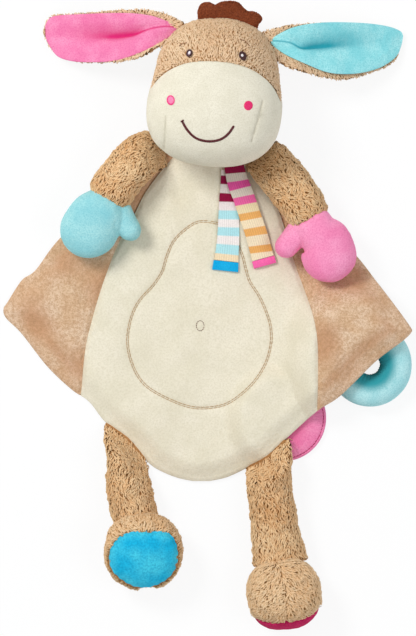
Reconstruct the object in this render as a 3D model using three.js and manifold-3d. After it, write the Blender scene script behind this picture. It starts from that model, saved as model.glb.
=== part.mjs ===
// A comfort blanket lovey: a donkey's stuffed head, arms and legs sewn to a small padded blanket.
// It lies on its back. Millimetres, +Z up from the surface it lies on, +Y towards the head,
// +X to the right of someone who looks down at its face. The soft pieces are drawn as sewn and stuffed.
import * as THREE from 'three';
import { mergeVertices } from 'three/addons/utils/BufferGeometryUtils.js';
import Module from 'manifold-3d';

const wasm = await Module();
wasm.setup();

// Clearances and cloth, shared by every piece
const seamGap = 0.3; // between two pieces that are sewn or lie together
const plush = 1.6; // thickness of the long tan plush, without its pile
const velour = 1.2; // thickness of the short velour
const overrun = 5; // how far a cutting shape runs past what it cuts

// The blanket
const blanketWidth = 287;
const blanketLength = 240; // neck seam to bottom seam
const blanketEdge = 3.5; // front and back cloth sewn together
const blanketPad = 9; // where the wadding fills it
const blanketEdgeRun = 13; // from the seam to the full thickness
const blanketBackCloth = 1.5;
const blanketFrontCloth = 1.4;

// The head and the neck roll that it nods on
const headWidth = 87;
const headLength = 91;
const headDepth = 74;
const muzzleWidth = 93;
const muzzleLength = 73;
const muzzleDepth = 74;
const muzzleRise = 11; // muzzle's middle above the head's
const headBlend = 11; // a larger number makes a sharper crease between head and muzzle
const chinSeamHeight = 20;
const neckRollRadius = 12;
const neckRollHalf = 14; // straight part of the roll, each side
const neckRollHeight = 14.5;
const neckRise = 5.6; // roll's middle above the blanket's neck seam
const neckClearance = 0.4;
const stitchPad = 0.7; // height of satin stitch
const eyeWidth = 4.6;
const eyeLength = 6.2;
const nostrilWidth = 6.2;
const nostrilLength = 7;
const mouthThread = 1.5;
const maneThickness = 7;

// The ears
const earLength = 92;
const earPlush = 2.2;
const earLining = 1.6;
const earCup = 4.5; // how far the long edges stand above the crease
const earRootHeight = 41;
const earArch = 4;
const earHem = 1.6; // tan plush that shows round the lining
const earLayerGap = 0.6;

// The arms and mittens
const armLeftLength = 51.3; // shoulder seam to wrist seam
const armRightLength = 58;
const armHalfWidth = 15;
const armHalfHeight = 12.5;
const shoulderHalfHeight = 2.2;
const mittenLength = 46.5;
const mittenHalfWidth = 20.3;
const mittenHalfHeight = 13;
const thumbRadius = 7;

// The legs and feet
const legLeftLength = 66.5; // hip seam to the middle of the ankle
const legRightLength = 85.7;
const legHalfWidth = 15.3;
const legHalfHeight = 12.8;
const hipRun = 17; // from the flat seam to the full thickness
const hipFlatness = 0.05; // share of the leg's thickness that is left in the seam
const hipGap = 1.1; // from the blanket's edge to the leg, so that the seam can fold
const footHalfWidth = 27;
const footHalfDepth = 20.5; // heel to instep
const footHalfLength = 25.5; // ankle to sole
const soleWidth = 48;
const soleLength = 39;

// The scarf tails
const scarfCloth = 1.5;
const scarfHalfWidth = 7.6;
const scarfHem = 5.6;

// The teether ring and the grab disc on their tapes
const ringRadius = 29.7;
const ringHoleRadius = 6.5;
const ringHeight = 17;
const tapeCloth = 0.8;
const tapeWidth = 6;
const tapeClearance = 1.3;
const umbrellaRun = 30; // how far the blanket takes to come down round the ring
const discRadius = 30.5;
const discHeight = 9;
const discRim = 2.2;
const discCloth = 1.2;
const discUmbrellaRun = 15;
const discTapeLength = 9;

// Places as shares of the blanket's width and length, from the middle of its neck seam.
const leftEdgeShares = [
  [-0.059, 0], [-0.127, -0.017], [-0.249, -0.152], [-0.372, -0.283], [-0.433, -0.378],
  [-0.467, -0.408], [-0.502, -0.472], [-0.512, -0.492], [-0.506, -0.519], [-0.467, -0.566],
  [-0.405, -0.661], [-0.345, -0.729], [-0.302, -0.765], [-0.262, -0.825], [-0.207, -0.875],
  [-0.155, -0.945], [-0.123, -0.971], [-0.083, -0.99], [-0.029, -1],
];
const rightEdgeShares = [
  [0.063, 0], [0.122, -0.023], [0.239, -0.184], [0.356, -0.338], [0.402, -0.41],
  [0.44, -0.471], [0.484, -0.544], [0.487, -0.561], [0.463, -0.589], [0.402, -0.644],
  [0.314, -0.746], [0.259, -0.79], [0.19, -0.864], [0.135, -0.928], [0.079, -0.966],
  [0.02, -0.99], [-0.005, -1],
];
const leftSeamShares = [
  [-0.068, 0.03], [-0.101, -0.054], [-0.16, -0.145], [-0.193, -0.222], [-0.227, -0.294],
  [-0.249, -0.357], [-0.273, -0.437], [-0.294, -0.523], [-0.311, -0.612], [-0.322, -0.752],
];
const rightSeamShares = [
  [0.071, 0.03], [0.102, -0.073], [0.137, -0.146], [0.168, -0.219], [0.202, -0.355],
  [0.225, -0.431], [0.244, -0.499], [0.256, -0.571], [0.259, -0.656], [0.257, -0.796],
];
const rowShares = [
  0, -0.02, -0.073, -0.146, -0.219, -0.292, -0.364, -0.437, -0.492, -0.554,
  -0.612, -0.676, -0.746, -0.79, -0.831, -0.889, -0.939, -0.974, -1,
];
const columnShares = [0, 0.03, 0.1, 0.22, 0.36, 0.5, 0.64, 0.75, 0.83, 0.91, 0.97, 1];
const shoulderLeftShare = [-0.12, -0.029];
const shoulderRightShare = [0.112, -0.035];
const hipLeftShare = [-0.21, -0.863];
const hipRightShare = [0.139, -0.875];
const ringShare = [0.387, -0.656];
const discShare = [0.173, -0.808];

function onBlanket(share) {
  return new THREE.Vector2(share[0] * blanketWidth, share[1] * blanketLength);
}

function mix(a, b, t) {
  return a + (b - a) * t;
}

// From 0 to 1 with level ends.
function ease(t) {
  const held = Math.min(1, Math.max(0, t));
  return held * held * (3 - 2 * held);
}

// Solids: joined and cut by manifold-3d, drawn from vertices and triangles.
function solidFrom(points, triangles) {
  const geometry = new THREE.BufferGeometry();
  geometry.setAttribute('position', new THREE.Float32BufferAttribute(points.flatMap((p) => [p.x, p.y, p.z]), 3));
  geometry.setIndex(triangles.flat());
  return solidOf(geometry);
}

function solidOf(geometry) {
  const bare = geometry.clone();
  bare.deleteAttribute('normal');
  bare.deleteAttribute('uv');
  const merged = mergeVertices(bare);
  const corners = merged.attributes.position.array;
  const triVerts = new Uint32Array(merged.index.array);
  if (signedVolume(corners, triVerts) < 0) {
    for (let i = 0; i < triVerts.length; i += 3) {
      [triVerts[i + 1], triVerts[i + 2]] = [triVerts[i + 2], triVerts[i + 1]];
    }
  }
  return new wasm.Manifold(new wasm.Mesh({ numProp: 3, vertProperties: corners, triVerts }));
}

function signedVolume(corners, triVerts) {
  const [a, b, c] = [new THREE.Vector3(), new THREE.Vector3(), new THREE.Vector3()];
  let sum = 0;
  for (let i = 0; i < triVerts.length; i += 3) {
    a.fromArray(corners, triVerts[i] * 3);
    b.fromArray(corners, triVerts[i + 1] * 3);
    c.fromArray(corners, triVerts[i + 2] * 3);
    sum += a.dot(b.cross(c));
  }
  return sum;
}

function geometryOf(solid) {
  const mesh = solid.getMesh();
  const geometry = new THREE.BufferGeometry();
  geometry.setAttribute('position', new THREE.BufferAttribute(new Float32Array(mesh.vertProperties), 3));
  geometry.setIndex(new THREE.BufferAttribute(new Uint32Array(mesh.triVerts), 1));
  const flat = geometry.toNonIndexed();
  flat.computeVertexNormals();
  return flat;
}

// The main body of a cut solid, without the slivers that a cut can leave.
function largest(solid) {
  return solid.decompose().sort((a, b) => b.volume() - a.volume())[0];
}

// A stack of closed rings with the same number of points. An end given as a point is closed by a fan.
function stackedRings(rings, startPoint, endPoint) {
  const around = rings[0].length;
  const points = rings.flat();
  const triangles = [];
  for (let i = 0; i + 1 < rings.length; i += 1) {
    for (let j = 0; j < around; j += 1) {
      const k = (j + 1) % around;
      const [a, b, c, d] = [i * around + j, i * around + k, (i + 1) * around + j, (i + 1) * around + k];
      triangles.push([a, b, d], [a, d, c]);
    }
  }
  const last = (rings.length - 1) * around;
  points.push(startPoint, endPoint);
  const [start, end] = [points.length - 2, points.length - 1];
  for (let j = 0; j < around; j += 1) {
    const k = (j + 1) % around;
    triangles.push([start, k, j], [end, last + j, last + k]);
  }
  return solidFrom(points, triangles);
}

// A closed sheet between two grids of points of the same size.
function sheetBetween(low, high) {
  const [rows, columns] = [low.length, low[0].length];
  const half = rows * columns;
  const points = [...low.flat(), ...high.flat()];
  const triangles = [];
  const at = (i, j) => i * columns + j;
  for (let i = 0; i + 1 < rows; i += 1) {
    for (let j = 0; j + 1 < columns; j += 1) {
      const [a, b, c, d] = [at(i, j), at(i, j + 1), at(i + 1, j), at(i + 1, j + 1)];
      triangles.push([a, d, b], [a, c, d]);
      triangles.push([half + a, half + b, half + d], [half + a, half + d, half + c]);
    }
  }
  const rim = [];
  for (let j = 0; j + 1 < columns; j += 1) rim.push(at(0, j));
  for (let i = 0; i + 1 < rows; i += 1) rim.push(at(i, columns - 1));
  for (let j = columns - 1; j > 0; j -= 1) rim.push(at(rows - 1, j));
  for (let i = rows - 1; i > 0; i -= 1) rim.push(at(i, 0));
  rim.forEach((a, n) => {
    const b = rim[(n + 1) % rim.length];
    triangles.push([a, b, half + b], [a, half + b, half + a]);
  });
  return solidFrom(points, triangles);
}

// An upright prism on a closed outline.
function prism(outline, bottom, top) {
  const geometry = new THREE.ExtrudeGeometry(new THREE.Shape(outline), {
    depth: top - bottom,
    bevelEnabled: false,
  });
  geometry.translate(0, 0, bottom);
  return solidOf(geometry);
}

// A stuffed limb: an oval section that swells and tapers along a path of stations.
// Each station has a centre and the half width and half height of the section there.
// Each station also gets the direction that its section faces.
const limbAround = 10;

function directed(stations) {
  return stations.map((station, i) => {
    const before = stations[Math.max(0, i - 1)].centre;
    const after = stations[Math.min(stations.length - 1, i + 1)].centre;
    return { ...station, along: after.clone().sub(before).normalize() };
  });
}

function limbAxes(stations, i) {
  const { along } = stations[i];
  const across = new THREE.Vector3(along.y, -along.x, 0).normalize();
  return [along, across, across.clone().cross(along).negate()];
}

function limbRings(stations, inset, shaped) {
  return stations.map(({ centre, halfWidth, halfHeight }, i) => {
    const [, across, up] = limbAxes(stations, i);
    const ring = [];
    for (let j = 0; j < limbAround; j += 1) {
      const turn = (2 * Math.PI * j) / limbAround;
      const point = centre
        .clone()
        .addScaledVector(across, Math.cos(turn) * Math.max(halfWidth - inset, halfWidth / 4))
        .addScaledVector(up, Math.sin(turn) * Math.max(halfHeight - inset, halfHeight / 4));
      ring.push(shaped ? shaped(point, inset) : point);
    }
    return ring;
  });
}

function limb(stations, inset, { openStart = false, openEnd = false, tip = null, shaped = null } = {}) {
  const rings = limbRings(stations, inset, shaped);
  const [startAlong] = limbAxes(stations, 0);
  const [endAlong] = limbAxes(stations, stations.length - 1);
  const last = stations.length - 1;
  let startPoint = stations[0].centre.clone();
  let endPoint = tip ? tip.clone().addScaledVector(endAlong, -inset) : stations[last].centre.clone();
  if (openStart) {
    rings.unshift(rings[0].map((p) => p.clone().addScaledVector(startAlong, -overrun)));
    startPoint.addScaledVector(startAlong, -overrun);
  }
  if (openEnd) {
    rings.push(rings[rings.length - 1].map((p) => p.clone().addScaledVector(endAlong, overrun)));
    endPoint = endPoint.clone().addScaledVector(endAlong, overrun);
  }
  if (shaped && !openStart) startPoint = shaped(startPoint, inset);
  return stackedRings(rings, startPoint, endPoint);
}

// A round stuffed form: its reach from its middle in each direction, less an inset.
const formAround = 24;
const formLevels = 12;

function roundForm(middle, reach, inset, { axes = null, floor = null, around = formAround, levels = formLevels } = {}) {
  const turn = axes || new THREE.Matrix4();
  const pointAt = (direction) => {
    const world = direction.clone().transformDirection(turn);
    const point = middle.clone().addScaledVector(world, reach(world, direction) - inset);
    if (floor !== null) point.z = Math.max(point.z, floor + inset);
    return point;
  };
  const rings = [];
  for (let i = 1; i < levels; i += 1) {
    const polar = (Math.PI * i) / levels;
    const ring = [];
    for (let j = 0; j < around; j += 1) {
      const side = (2 * Math.PI * j) / around;
      const flat = Math.sin(polar);
      ring.push(pointAt(new THREE.Vector3(flat * Math.cos(side), flat * Math.sin(side), Math.cos(polar))));
    }
    rings.push(ring);
  }
  return stackedRings(rings, pointAt(new THREE.Vector3(0, 0, 1)), pointAt(new THREE.Vector3(0, 0, -1)));
}

// Reach of a rounded box-like egg, in its own axes.
function eggReach(halves, power) {
  return (world, own) => {
    const sum = [own.x, own.y, own.z].reduce((s, v, n) => s + Math.abs(v / halves[n]) ** power, 0);
    return sum ** (-1 / power);
  };
}

// Blanket: heights of its underside and top at each place
const leftEdge = leftEdgeShares.map(onBlanket);
const rightEdge = rightEdgeShares.map(onBlanket);
const outline = [...leftEdge, ...rightEdge.slice().reverse()];
const ringPlace = onBlanket(ringShare);
const discPlace = onBlanket(discShare);
const tubeHalfWidth = (ringRadius - ringHoleRadius) / 2;
const tubeHalfHeight = ringHeight / 2;
const tubeRadius = (ringRadius + ringHoleRadius) / 2;
const tapeRise = tapeCloth + tapeClearance;
const umbrellaHeight = ringHeight + 2 * tapeRise + 3 * seamGap;
const discTop = discHeight + seamGap;

function distanceToOutline(x, y) {
  let least = Infinity;
  outline.forEach((a, n) => {
    const b = outline[(n + 1) % outline.length];
    const [dx, dy] = [b.x - a.x, b.y - a.y];
    const t = ((x - a.x) * dx + (y - a.y) * dy) / (dx * dx + dy * dy);
    const held = Math.min(1, Math.max(0, t));
    least = Math.min(least, Math.hypot(x - a.x - held * dx, y - a.y - held * dy));
  });
  return least;
}

// How far a place is outside the blanket's outline. Inside it this is 0.
function distanceOutside(x, y) {
  let inside = false;
  outline.forEach((a, n) => {
    const b = outline[(n + 1) % outline.length];
    const crosses = (a.y > y) !== (b.y > y) && x < a.x + ((b.x - a.x) * (y - a.y)) / (b.y - a.y);
    if (crosses) inside = !inside;
  });
  return inside ? 0 : distanceToOutline(x, y);
}

function umbrella(x, y, place, flatRadius, run, height) {
  const away = Math.hypot(x - place.x, y - place.y);
  return height * ease(1 - (away - flatRadius) / run);
}

function underside(x, y) {
  return Math.max(
    umbrella(x, y, ringPlace, ringRadius + 5 * tapeRise, umbrellaRun, umbrellaHeight),
    umbrella(x, y, discPlace, discRadius * 0.9, discUmbrellaRun, discTop),
  );
}

function padAt(x, y) {
  return mix(blanketEdge, blanketPad, ease(distanceToOutline(x, y) / blanketEdgeRun));
}

function blanketTop(x, y) {
  return underside(x, y) + padAt(x, y);
}

function edgeAt(edge, y) {
  for (let i = 0; i + 1 < edge.length; i += 1) {
    if (y >= edge[i + 1].y) return mix(edge[i].x, edge[i + 1].x, (edge[i].y - y) / (edge[i].y - edge[i + 1].y));
  }
  return edge[edge.length - 1].x;
}

const blanketGrid = rowShares.map((rowShare) => {
  const y = rowShare * blanketLength;
  const [west, east] = [edgeAt(leftEdge, y), edgeAt(rightEdge, y)];
  return columnShares.map((columnShare) => new THREE.Vector2(mix(west, east, columnShare), y));
});
const innerGrid = blanketGrid.slice(1, -2).map((row) => row.slice(1, -1));

function surface(grid, height) {
  return grid.map((row) => row.map((p) => new THREE.Vector3(p.x, p.y, height(p.x, p.y))));
}

function blanketSheets() {
  const back = sheetBetween(
    surface(blanketGrid, underside),
    surface(blanketGrid, (x, y) => underside(x, y) + blanketBackCloth),
  );
  const front = sheetBetween(
    surface(blanketGrid, (x, y) => blanketTop(x, y) - blanketFrontCloth),
    surface(blanketGrid, blanketTop),
  );
  const wadding = sheetBetween(
    surface(innerGrid, (x, y) => underside(x, y) + blanketBackCloth + seamGap),
    surface(innerGrid, (x, y) => blanketTop(x, y) - blanketFrontCloth - 2 * seamGap),
  );
  return { back, front, wadding };
}

// The front is cut along the two seams between the belly panel and the side panels.
function besideSeam(seamShares, side) {
  const shift = (side * seamGap) / 2;
  return seamShares.map((share) => onBlanket(share).add(new THREE.Vector2(shift, 0)));
}

function frontPanels(front) {
  const [bottom, top] = [-overrun, umbrellaHeight + blanketPad + overrun];
  const [far, low] = [blanketWidth, -blanketLength - overrun];
  const left = besideSeam(leftSeamShares, 1);
  const right = besideSeam(rightSeamShares, -1);
  const seamFoot = Math.max(left[left.length - 1].y, right[right.length - 1].y);
  const belly = prism([
    ...left,
    new THREE.Vector2(-far, left[left.length - 1].y),
    new THREE.Vector2(-far, low),
    new THREE.Vector2(far, low),
    new THREE.Vector2(far, right[right.length - 1].y),
    ...right.slice().reverse(),
  ], bottom, top);
  const leftOuter = besideSeam(leftSeamShares, -1);
  const rightOuter = besideSeam(rightSeamShares, 1);
  const sideOf = (seam, direction) => prism([
    ...seam,
    new THREE.Vector2(direction * far, Math.min(seam[seam.length - 1].y, seamFoot)),
    new THREE.Vector2(direction * far, seam[0].y),
  ], bottom, top);
  return {
    belly: front.intersect(belly),
    left: front.intersect(sideOf(leftOuter, -1)),
    right: front.intersect(sideOf(rightOuter, 1)),
  };
}

// Everything that meets the blanket's edge is cut back by this.
function blanketBlock(gap) {
  const grown = blanketGrid.map((row, i) => row.map((p, j) => {
    const moved = p.clone();
    if (j === 0) moved.x -= gap;
    if (j === row.length - 1) moved.x += gap;
    if (i === 0) moved.y += gap;
    if (i === blanketGrid.length - 1) moved.y -= gap;
    return moved;
  }));
  return sheetBetween(
    surface(grown, () => -overrun),
    surface(grown, (x, y) => blanketTop(x, y) + gap),
  );
}

// Neck roll and head
const neckMiddle = new THREE.Vector3(0, neckRise, neckRollHeight);
const headMiddle = neckMiddle.clone().add(new THREE.Vector3(headWidth * 0.032, headLength * 0.368, 0));
headMiddle.z = headDepth / 2;
const muzzleMiddle = headMiddle.clone().add(new THREE.Vector3(-headWidth * 0.032, -headLength * 0.246, muzzleRise));
const faceMiddle = headMiddle.clone().lerp(muzzleMiddle, 0.5);
const muzzleRoll = THREE.MathUtils.degToRad(-4.5);
const muzzlePower = 2.35;

function neckRoll(gap) {
  const radius = neckRollRadius + gap;
  const profile = [new THREE.Vector2(0, -neckRollHalf - radius)];
  const steps = 3;
  for (let i = 1; i <= steps; i += 1) {
    const turn = ((Math.PI / 2) * i) / steps;
    profile.push(new THREE.Vector2(radius * Math.sin(turn), -neckRollHalf - radius * Math.cos(turn)));
  }
  for (let i = steps; i >= 1; i -= 1) {
    const turn = ((Math.PI / 2) * i) / steps;
    profile.push(new THREE.Vector2(radius * Math.sin(turn), neckRollHalf + radius * Math.cos(turn)));
  }
  profile.push(new THREE.Vector2(0, neckRollHalf + radius));
  const geometry = new THREE.LatheGeometry(profile, 16);
  geometry.rotateZ(Math.PI / 2);
  geometry.translate(neckMiddle.x, neckMiddle.y, neckMiddle.z);
  return solidOf(geometry);
}

// Below 1 inside the head and muzzle, which are blended as one stuffed shape.
function headField(point) {
  const head = Math.hypot(
    (point.x - headMiddle.x) / (headWidth / 2),
    (point.y - headMiddle.y) / (headLength / 2),
    (point.z - headMiddle.z) / (headDepth / 2),
  );
  const rolled = point.clone().sub(muzzleMiddle).applyAxisAngle(new THREE.Vector3(0, 0, 1), -muzzleRoll);
  const muzzle = (
    Math.abs(rolled.x / (muzzleWidth / 2)) ** muzzlePower +
    Math.abs(rolled.y / (muzzleLength / 2)) ** muzzlePower +
    Math.abs(rolled.z / (muzzleDepth / 2)) ** muzzlePower
  ) ** (1 / muzzlePower);
  return -Math.log(Math.exp(-headBlend * head) + Math.exp(-headBlend * muzzle)) / headBlend;
}

// Where a ray that starts inside the head comes out of it.
function headReach(start, direction) {
  let [near, far] = [0, headLength + muzzleLength];
  const halvings = 26;
  for (let i = 0; i < halvings; i += 1) {
    const tried = (near + far) / 2;
    if (headField(start.clone().addScaledVector(direction, tried)) < 1) near = tried;
    else far = tried;
  }
  return near;
}

function headForm(inset, around = 24, levels = 12) {
  return roundForm(faceMiddle, (world) => headReach(faceMiddle, world), inset, { floor: 0, around, levels });
}

function faceHeight(x, y) {
  const start = new THREE.Vector3(x, y, faceMiddle.z);
  return start.z + headReach(start, new THREE.Vector3(0, 0, 1));
}

// The seam where the cream muzzle panel meets the tan plush, closed well below the chin.
function muzzleSeam(gap) {
  const points = [];
  const steps = 36;
  for (let i = 0; i < steps; i += 1) {
    const turn = (2 * Math.PI * i) / steps;
    const [c, s] = [Math.cos(turn), Math.sin(turn)];
    const round = (Math.abs(c) ** muzzlePower + Math.abs(s) ** muzzlePower) ** (-1 / muzzlePower);
    const below = s < 0 ? 1.25 : 1.02;
    const wide = mix(1.02, 1.25, ease(0.5 - s));
    const point = new THREE.Vector2(
      c * round * wide * (muzzleWidth / 2) + Math.sign(c) * gap,
      s * round * below * (muzzleLength / 2) + Math.sign(s) * gap,
    );
    points.push(point.rotateAround(new THREE.Vector2(), muzzleRoll).add(muzzleMiddle));
  }
  return points.map((p) => new THREE.Vector2(p.x, p.y));
}

function headParts() {
  const top = headDepth + muzzleDepth;
  const cavity = neckRoll(neckClearance);
  const shell = headForm(0).subtract(headForm(plush));
  const panel = prism(muzzleSeam(0), chinSeamHeight, top);
  const hole = prism(muzzleSeam(seamGap), chinSeamHeight - seamGap, top);
  return {
    cover: shell.subtract(hole).subtract(cavity),
    muzzle: shell.intersect(panel).subtract(cavity),
    filling: headForm(plush + seamGap).subtract(cavity),
  };
}

// A patch of satin stitch on the face. Its outline is given by rings of plan points.
function stitchedPatch(middle, ringOf, steps) {
  const lift = (p, height) => new THREE.Vector3(p.x, p.y, faceHeight(p.x, p.y) + height);
  const low = [];
  const high = [];
  [0.5, 1].forEach((share) => {
    const plan = [];
    for (let i = 0; i < steps; i += 1) plan.push(ringOf((2 * Math.PI * i) / steps, share));
    low.push(plan.map((p) => lift(p, seamGap)));
    high.push(plan.map((p) => lift(p, seamGap + stitchPad * (share < 1 ? 1 : 0.6))));
  });
  return stackedRings([low[0], low[1], high[1], high[0]], lift(middle, seamGap), lift(middle, seamGap + stitchPad));
}

function oval(share, width, length, lean) {
  const middle = new THREE.Vector2(headMiddle.x + share[0] * headWidth, headMiddle.y + share[1] * headLength);
  return stitchedPatch(middle, (turn, part) => {
    const point = new THREE.Vector2((Math.cos(turn) * width * part) / 2, (Math.sin(turn) * length * part) / 2);
    return point.rotateAround(new THREE.Vector2(), lean).add(middle);
  }, 12);
}

const eyeLeftShare = [-0.227, 0.237];
const eyeRightShare = [0.197, 0.217];
const nostrilLeftShare = [-0.375, -0.122];
const nostrilRightShare = [0.245, -0.166];
const mouthShares = [[-0.286, -0.285], [-0.068, -0.436], [0.132, -0.322]];

// The mouth is a bow of satin stitch through three places.
function mouthLine() {
  const [a, b, c] = mouthShares.map(([x, y]) => (
    new THREE.Vector2(headMiddle.x + x * headWidth, headMiddle.y + y * headLength)
  ));
  const handle = b.clone().multiplyScalar(2).sub(a.clone().add(c).multiplyScalar(0.5));
  const bow = new THREE.QuadraticBezierCurve(a, handle, c);
  const steps = 16;
  const rows = [];
  for (let i = 0; i <= steps; i += 1) {
    const at = bow.getPoint(i / steps);
    const along = bow.getTangent(i / steps);
    const side = new THREE.Vector2(-along.y, along.x).multiplyScalar(mouthThread / 2);
    rows.push([at.clone().sub(side), at, at.clone().add(side)]);
  }
  const raised = (share) => rows.map((row) => row.map((p, j) => (
    new THREE.Vector3(p.x, p.y, faceHeight(p.x, p.y) + seamGap + share * stitchPad * (j === 1 ? 1 : 0.6))
  )));
  return sheetBetween(raised(0), raised(1));
}

// A scalloped crest of brown fleece in the seam across the top of the head.
const maneShares = [
  [-0.151, 0.44], [-0.151, 0.553], [-0.119, 0.606], [-0.064, 0.61], [-0.019, 0.589],
  [0.048, 0.614], [0.111, 0.617], [0.162, 0.612], [0.207, 0.58], [0.251, 0.541],
  [0.302, 0.53], [0.342, 0.508], [0.35, 0.477], [0.33, 0.36], [0.1, 0.44],
];

function mane() {
  const points = maneShares.map(([x, y]) => (
    new THREE.Vector2(headMiddle.x + x * headWidth, headMiddle.y + y * headLength)
  ));
  const bottom = headMiddle.z - maneThickness / 2;
  return prism(points, bottom, bottom + maneThickness).subtract(headForm(-seamGap));
}

// Ears. Each row gives the upper and the lower edge, as shares of the ear's length from its root.
const earLeftRootShare = [-0.372, 0.372];
const earRightRootShare = [0.438, 0.288];
const earLeftShares = [
  [0.2, 0.03, 0.04, -0.15], [0.092, 0.1, -0.092, -0.1], [-0.015, 0.154, -0.169, -0.146], [-0.131, 0.188, -0.269, -0.192],
  [-0.338, 0.198, -0.431, -0.215], [-0.604, 0.181, -0.631, -0.212], [-0.8, 0.173, -0.8, -0.185],
  [-0.923, 0.162, -0.908, -0.115], [-0.985, 0.092, -0.977, -0.008],
];
const earRightShares = [
  [-0.075, 0.1, 0.01, -0.14], [-0.053, 0.117, 0.053, -0.117], [0.06, 0.151, 0.135, -0.162], [0.188, 0.173, 0.241, -0.192],
  [0.399, 0.187, 0.399, -0.233], [0.587, 0.184, 0.565, -0.245], [0.775, 0.177, 0.745, -0.192],
  [0.911, 0.154, 0.911, -0.117], [0.978, 0.117, 0.978, -0.011],
];
const earAcrossShares = [-1, -0.62, -0.25, 0, 0.25, 0.62, 1];
const liningWidthShares = [0.1, 0.16, 0.5, 0.78, 1, 1, 1, 1, 1];

function earGrid(edgeShares, root, narrow) {
  const lowest = earPlush + earLining + earLayerGap;
  return edgeShares.map(([ux, uy, lx, ly], i) => {
    const upper = new THREE.Vector2(ux, uy).multiplyScalar(earLength);
    const lower = new THREE.Vector2(lx, ly).multiplyScalar(earLength);
    const middle = upper.clone().add(lower).multiplyScalar(0.5);
    const half = upper.distanceTo(lower) / 2;
    const out = Math.min(1, middle.length() / earLength);
    const cup = earCup * ease(out * 4) * (1 - ease(out * 1.4 - 0.7));
    const height = mix(earRootHeight, lowest, out) + earArch * Math.sin(Math.PI * out) * (1 - out);
    const kept = narrow ? Math.max(0.1, liningWidthShares[i] * (1 - earHem / half)) : 1;
    return earAcrossShares.map((across) => {
      const plan = middle.clone().lerp(upper, across * kept);
      const rise = cup * (across * kept) ** 2;
      return new THREE.Vector3(root.x + plan.x, root.y + plan.y, height + rise);
    });
  });
}

function earSheet(grid, top, thickness) {
  const moved = (drop) => grid.map((row) => row.map((p) => p.clone().add(new THREE.Vector3(0, 0, drop))));
  return sheetBetween(moved(top - thickness), moved(top));
}

function ear(edgeShares, rootShare) {
  const root = new THREE.Vector2(
    headMiddle.x + rootShare[0] * headWidth,
    headMiddle.y + rootShare[1] * headLength,
  );
  const clear = headForm(-seamGap);
  const back = earSheet(earGrid(edgeShares, root, false), -earLining - earLayerGap, earPlush);
  const lining = earSheet(earGrid(edgeShares, root, true).slice(2), 0, earLining);
  return { back: back.subtract(clear), lining: lining.subtract(clear) };
}

// Arms, each with its mitten
const armLeftShares = [
  [0, 0], [-0.15, -0.02], [-0.3, -0.082], [-0.437, -0.205], [-0.559, -0.355], [-0.669, -0.519], [-0.75, -0.662],
];
const armRightShares = [
  [0, 0], [0.084, -0.078], [0.169, -0.157], [0.278, -0.278], [0.398, -0.434], [0.531, -0.603], [0.64, -0.76],
];
const armSwellShares = [0.88, 0.96, 1.02, 1.05, 1.05, 1.03, 1];
const armHeightShares = [0, 0.42, 0.75, 0.95, 1, 1, 0.98];
const mittenLeftShares = [[-0.122, -0.206], [-0.26, -0.42], [-0.367, -0.619], [-0.443, -0.772], [-0.481, -0.85]];
const mittenRightShares = [[0.117, -0.204], [0.233, -0.423], [0.306, -0.627], [0.35, -0.802], [0.372, -0.9]];
const mittenSwellShares = [0.93, 1, 0.88, 0.56];
const thumbLeftShares = [[0.06, -0.22], [0.382, -0.573]];
const thumbRightShares = [[-0.06, -0.2], [-0.408, -0.496]];
const thumbSwellShares = [0.9, 1.05, 1, 0.62];
const thumbPlaceShares = [0, 0.4, 0.8, 1];

function armStations(rootShare, pathShares, length) {
  const root = onBlanket(rootShare);
  return pathShares.map(([x, y], i) => {
    const halfHeight = mix(shoulderHalfHeight, armHalfHeight, armHeightShares[i]);
    const rest = seamGap + (i === 0 ? blanketTop(root.x, root.y) : blanketPad);
    return {
      centre: new THREE.Vector3(root.x + x * length, root.y + y * length, rest + halfHeight),
      halfWidth: armHalfWidth * armSwellShares[i],
      halfHeight,
    };
  });
}

function mittenStations(wrist, pathShares) {
  const stations = [wrist];
  mittenSwellShares.forEach((swell, i) => {
    const halfHeight = mittenHalfHeight * mix(swell, 1, 0.3);
    const [x, y] = pathShares[i];
    stations.push({
      centre: new THREE.Vector3(
        wrist.centre.x + x * mittenLength,
        wrist.centre.y + y * mittenLength,
        blanketPad + seamGap + mittenHalfHeight,
      ),
      halfWidth: mittenHalfWidth * swell,
      halfHeight,
    });
  });
  const [x, y] = pathShares[pathShares.length - 1];
  const tip = wrist.centre.clone().add(new THREE.Vector3(x * mittenLength, y * mittenLength, 0));
  return { stations, tip };
}

function thumb(wrist, shares, inset) {
  const [from, to] = shares.map(([x, y]) => new THREE.Vector3(
    wrist.centre.x + x * mittenLength,
    wrist.centre.y + y * mittenLength,
    blanketPad + seamGap + thumbRadius * 1.5,
  ));
  const stations = directed(thumbSwellShares.map((swell, i) => ({
    centre: from.clone().lerp(to, thumbPlaceShares[i]),
    halfWidth: thumbRadius * swell,
    halfHeight: thumbRadius * swell,
  })));
  const tip = to.clone().add(to.clone().sub(from).normalize().multiplyScalar(thumbRadius * 0.45));
  return limb(stations, inset, { tip });
}

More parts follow.
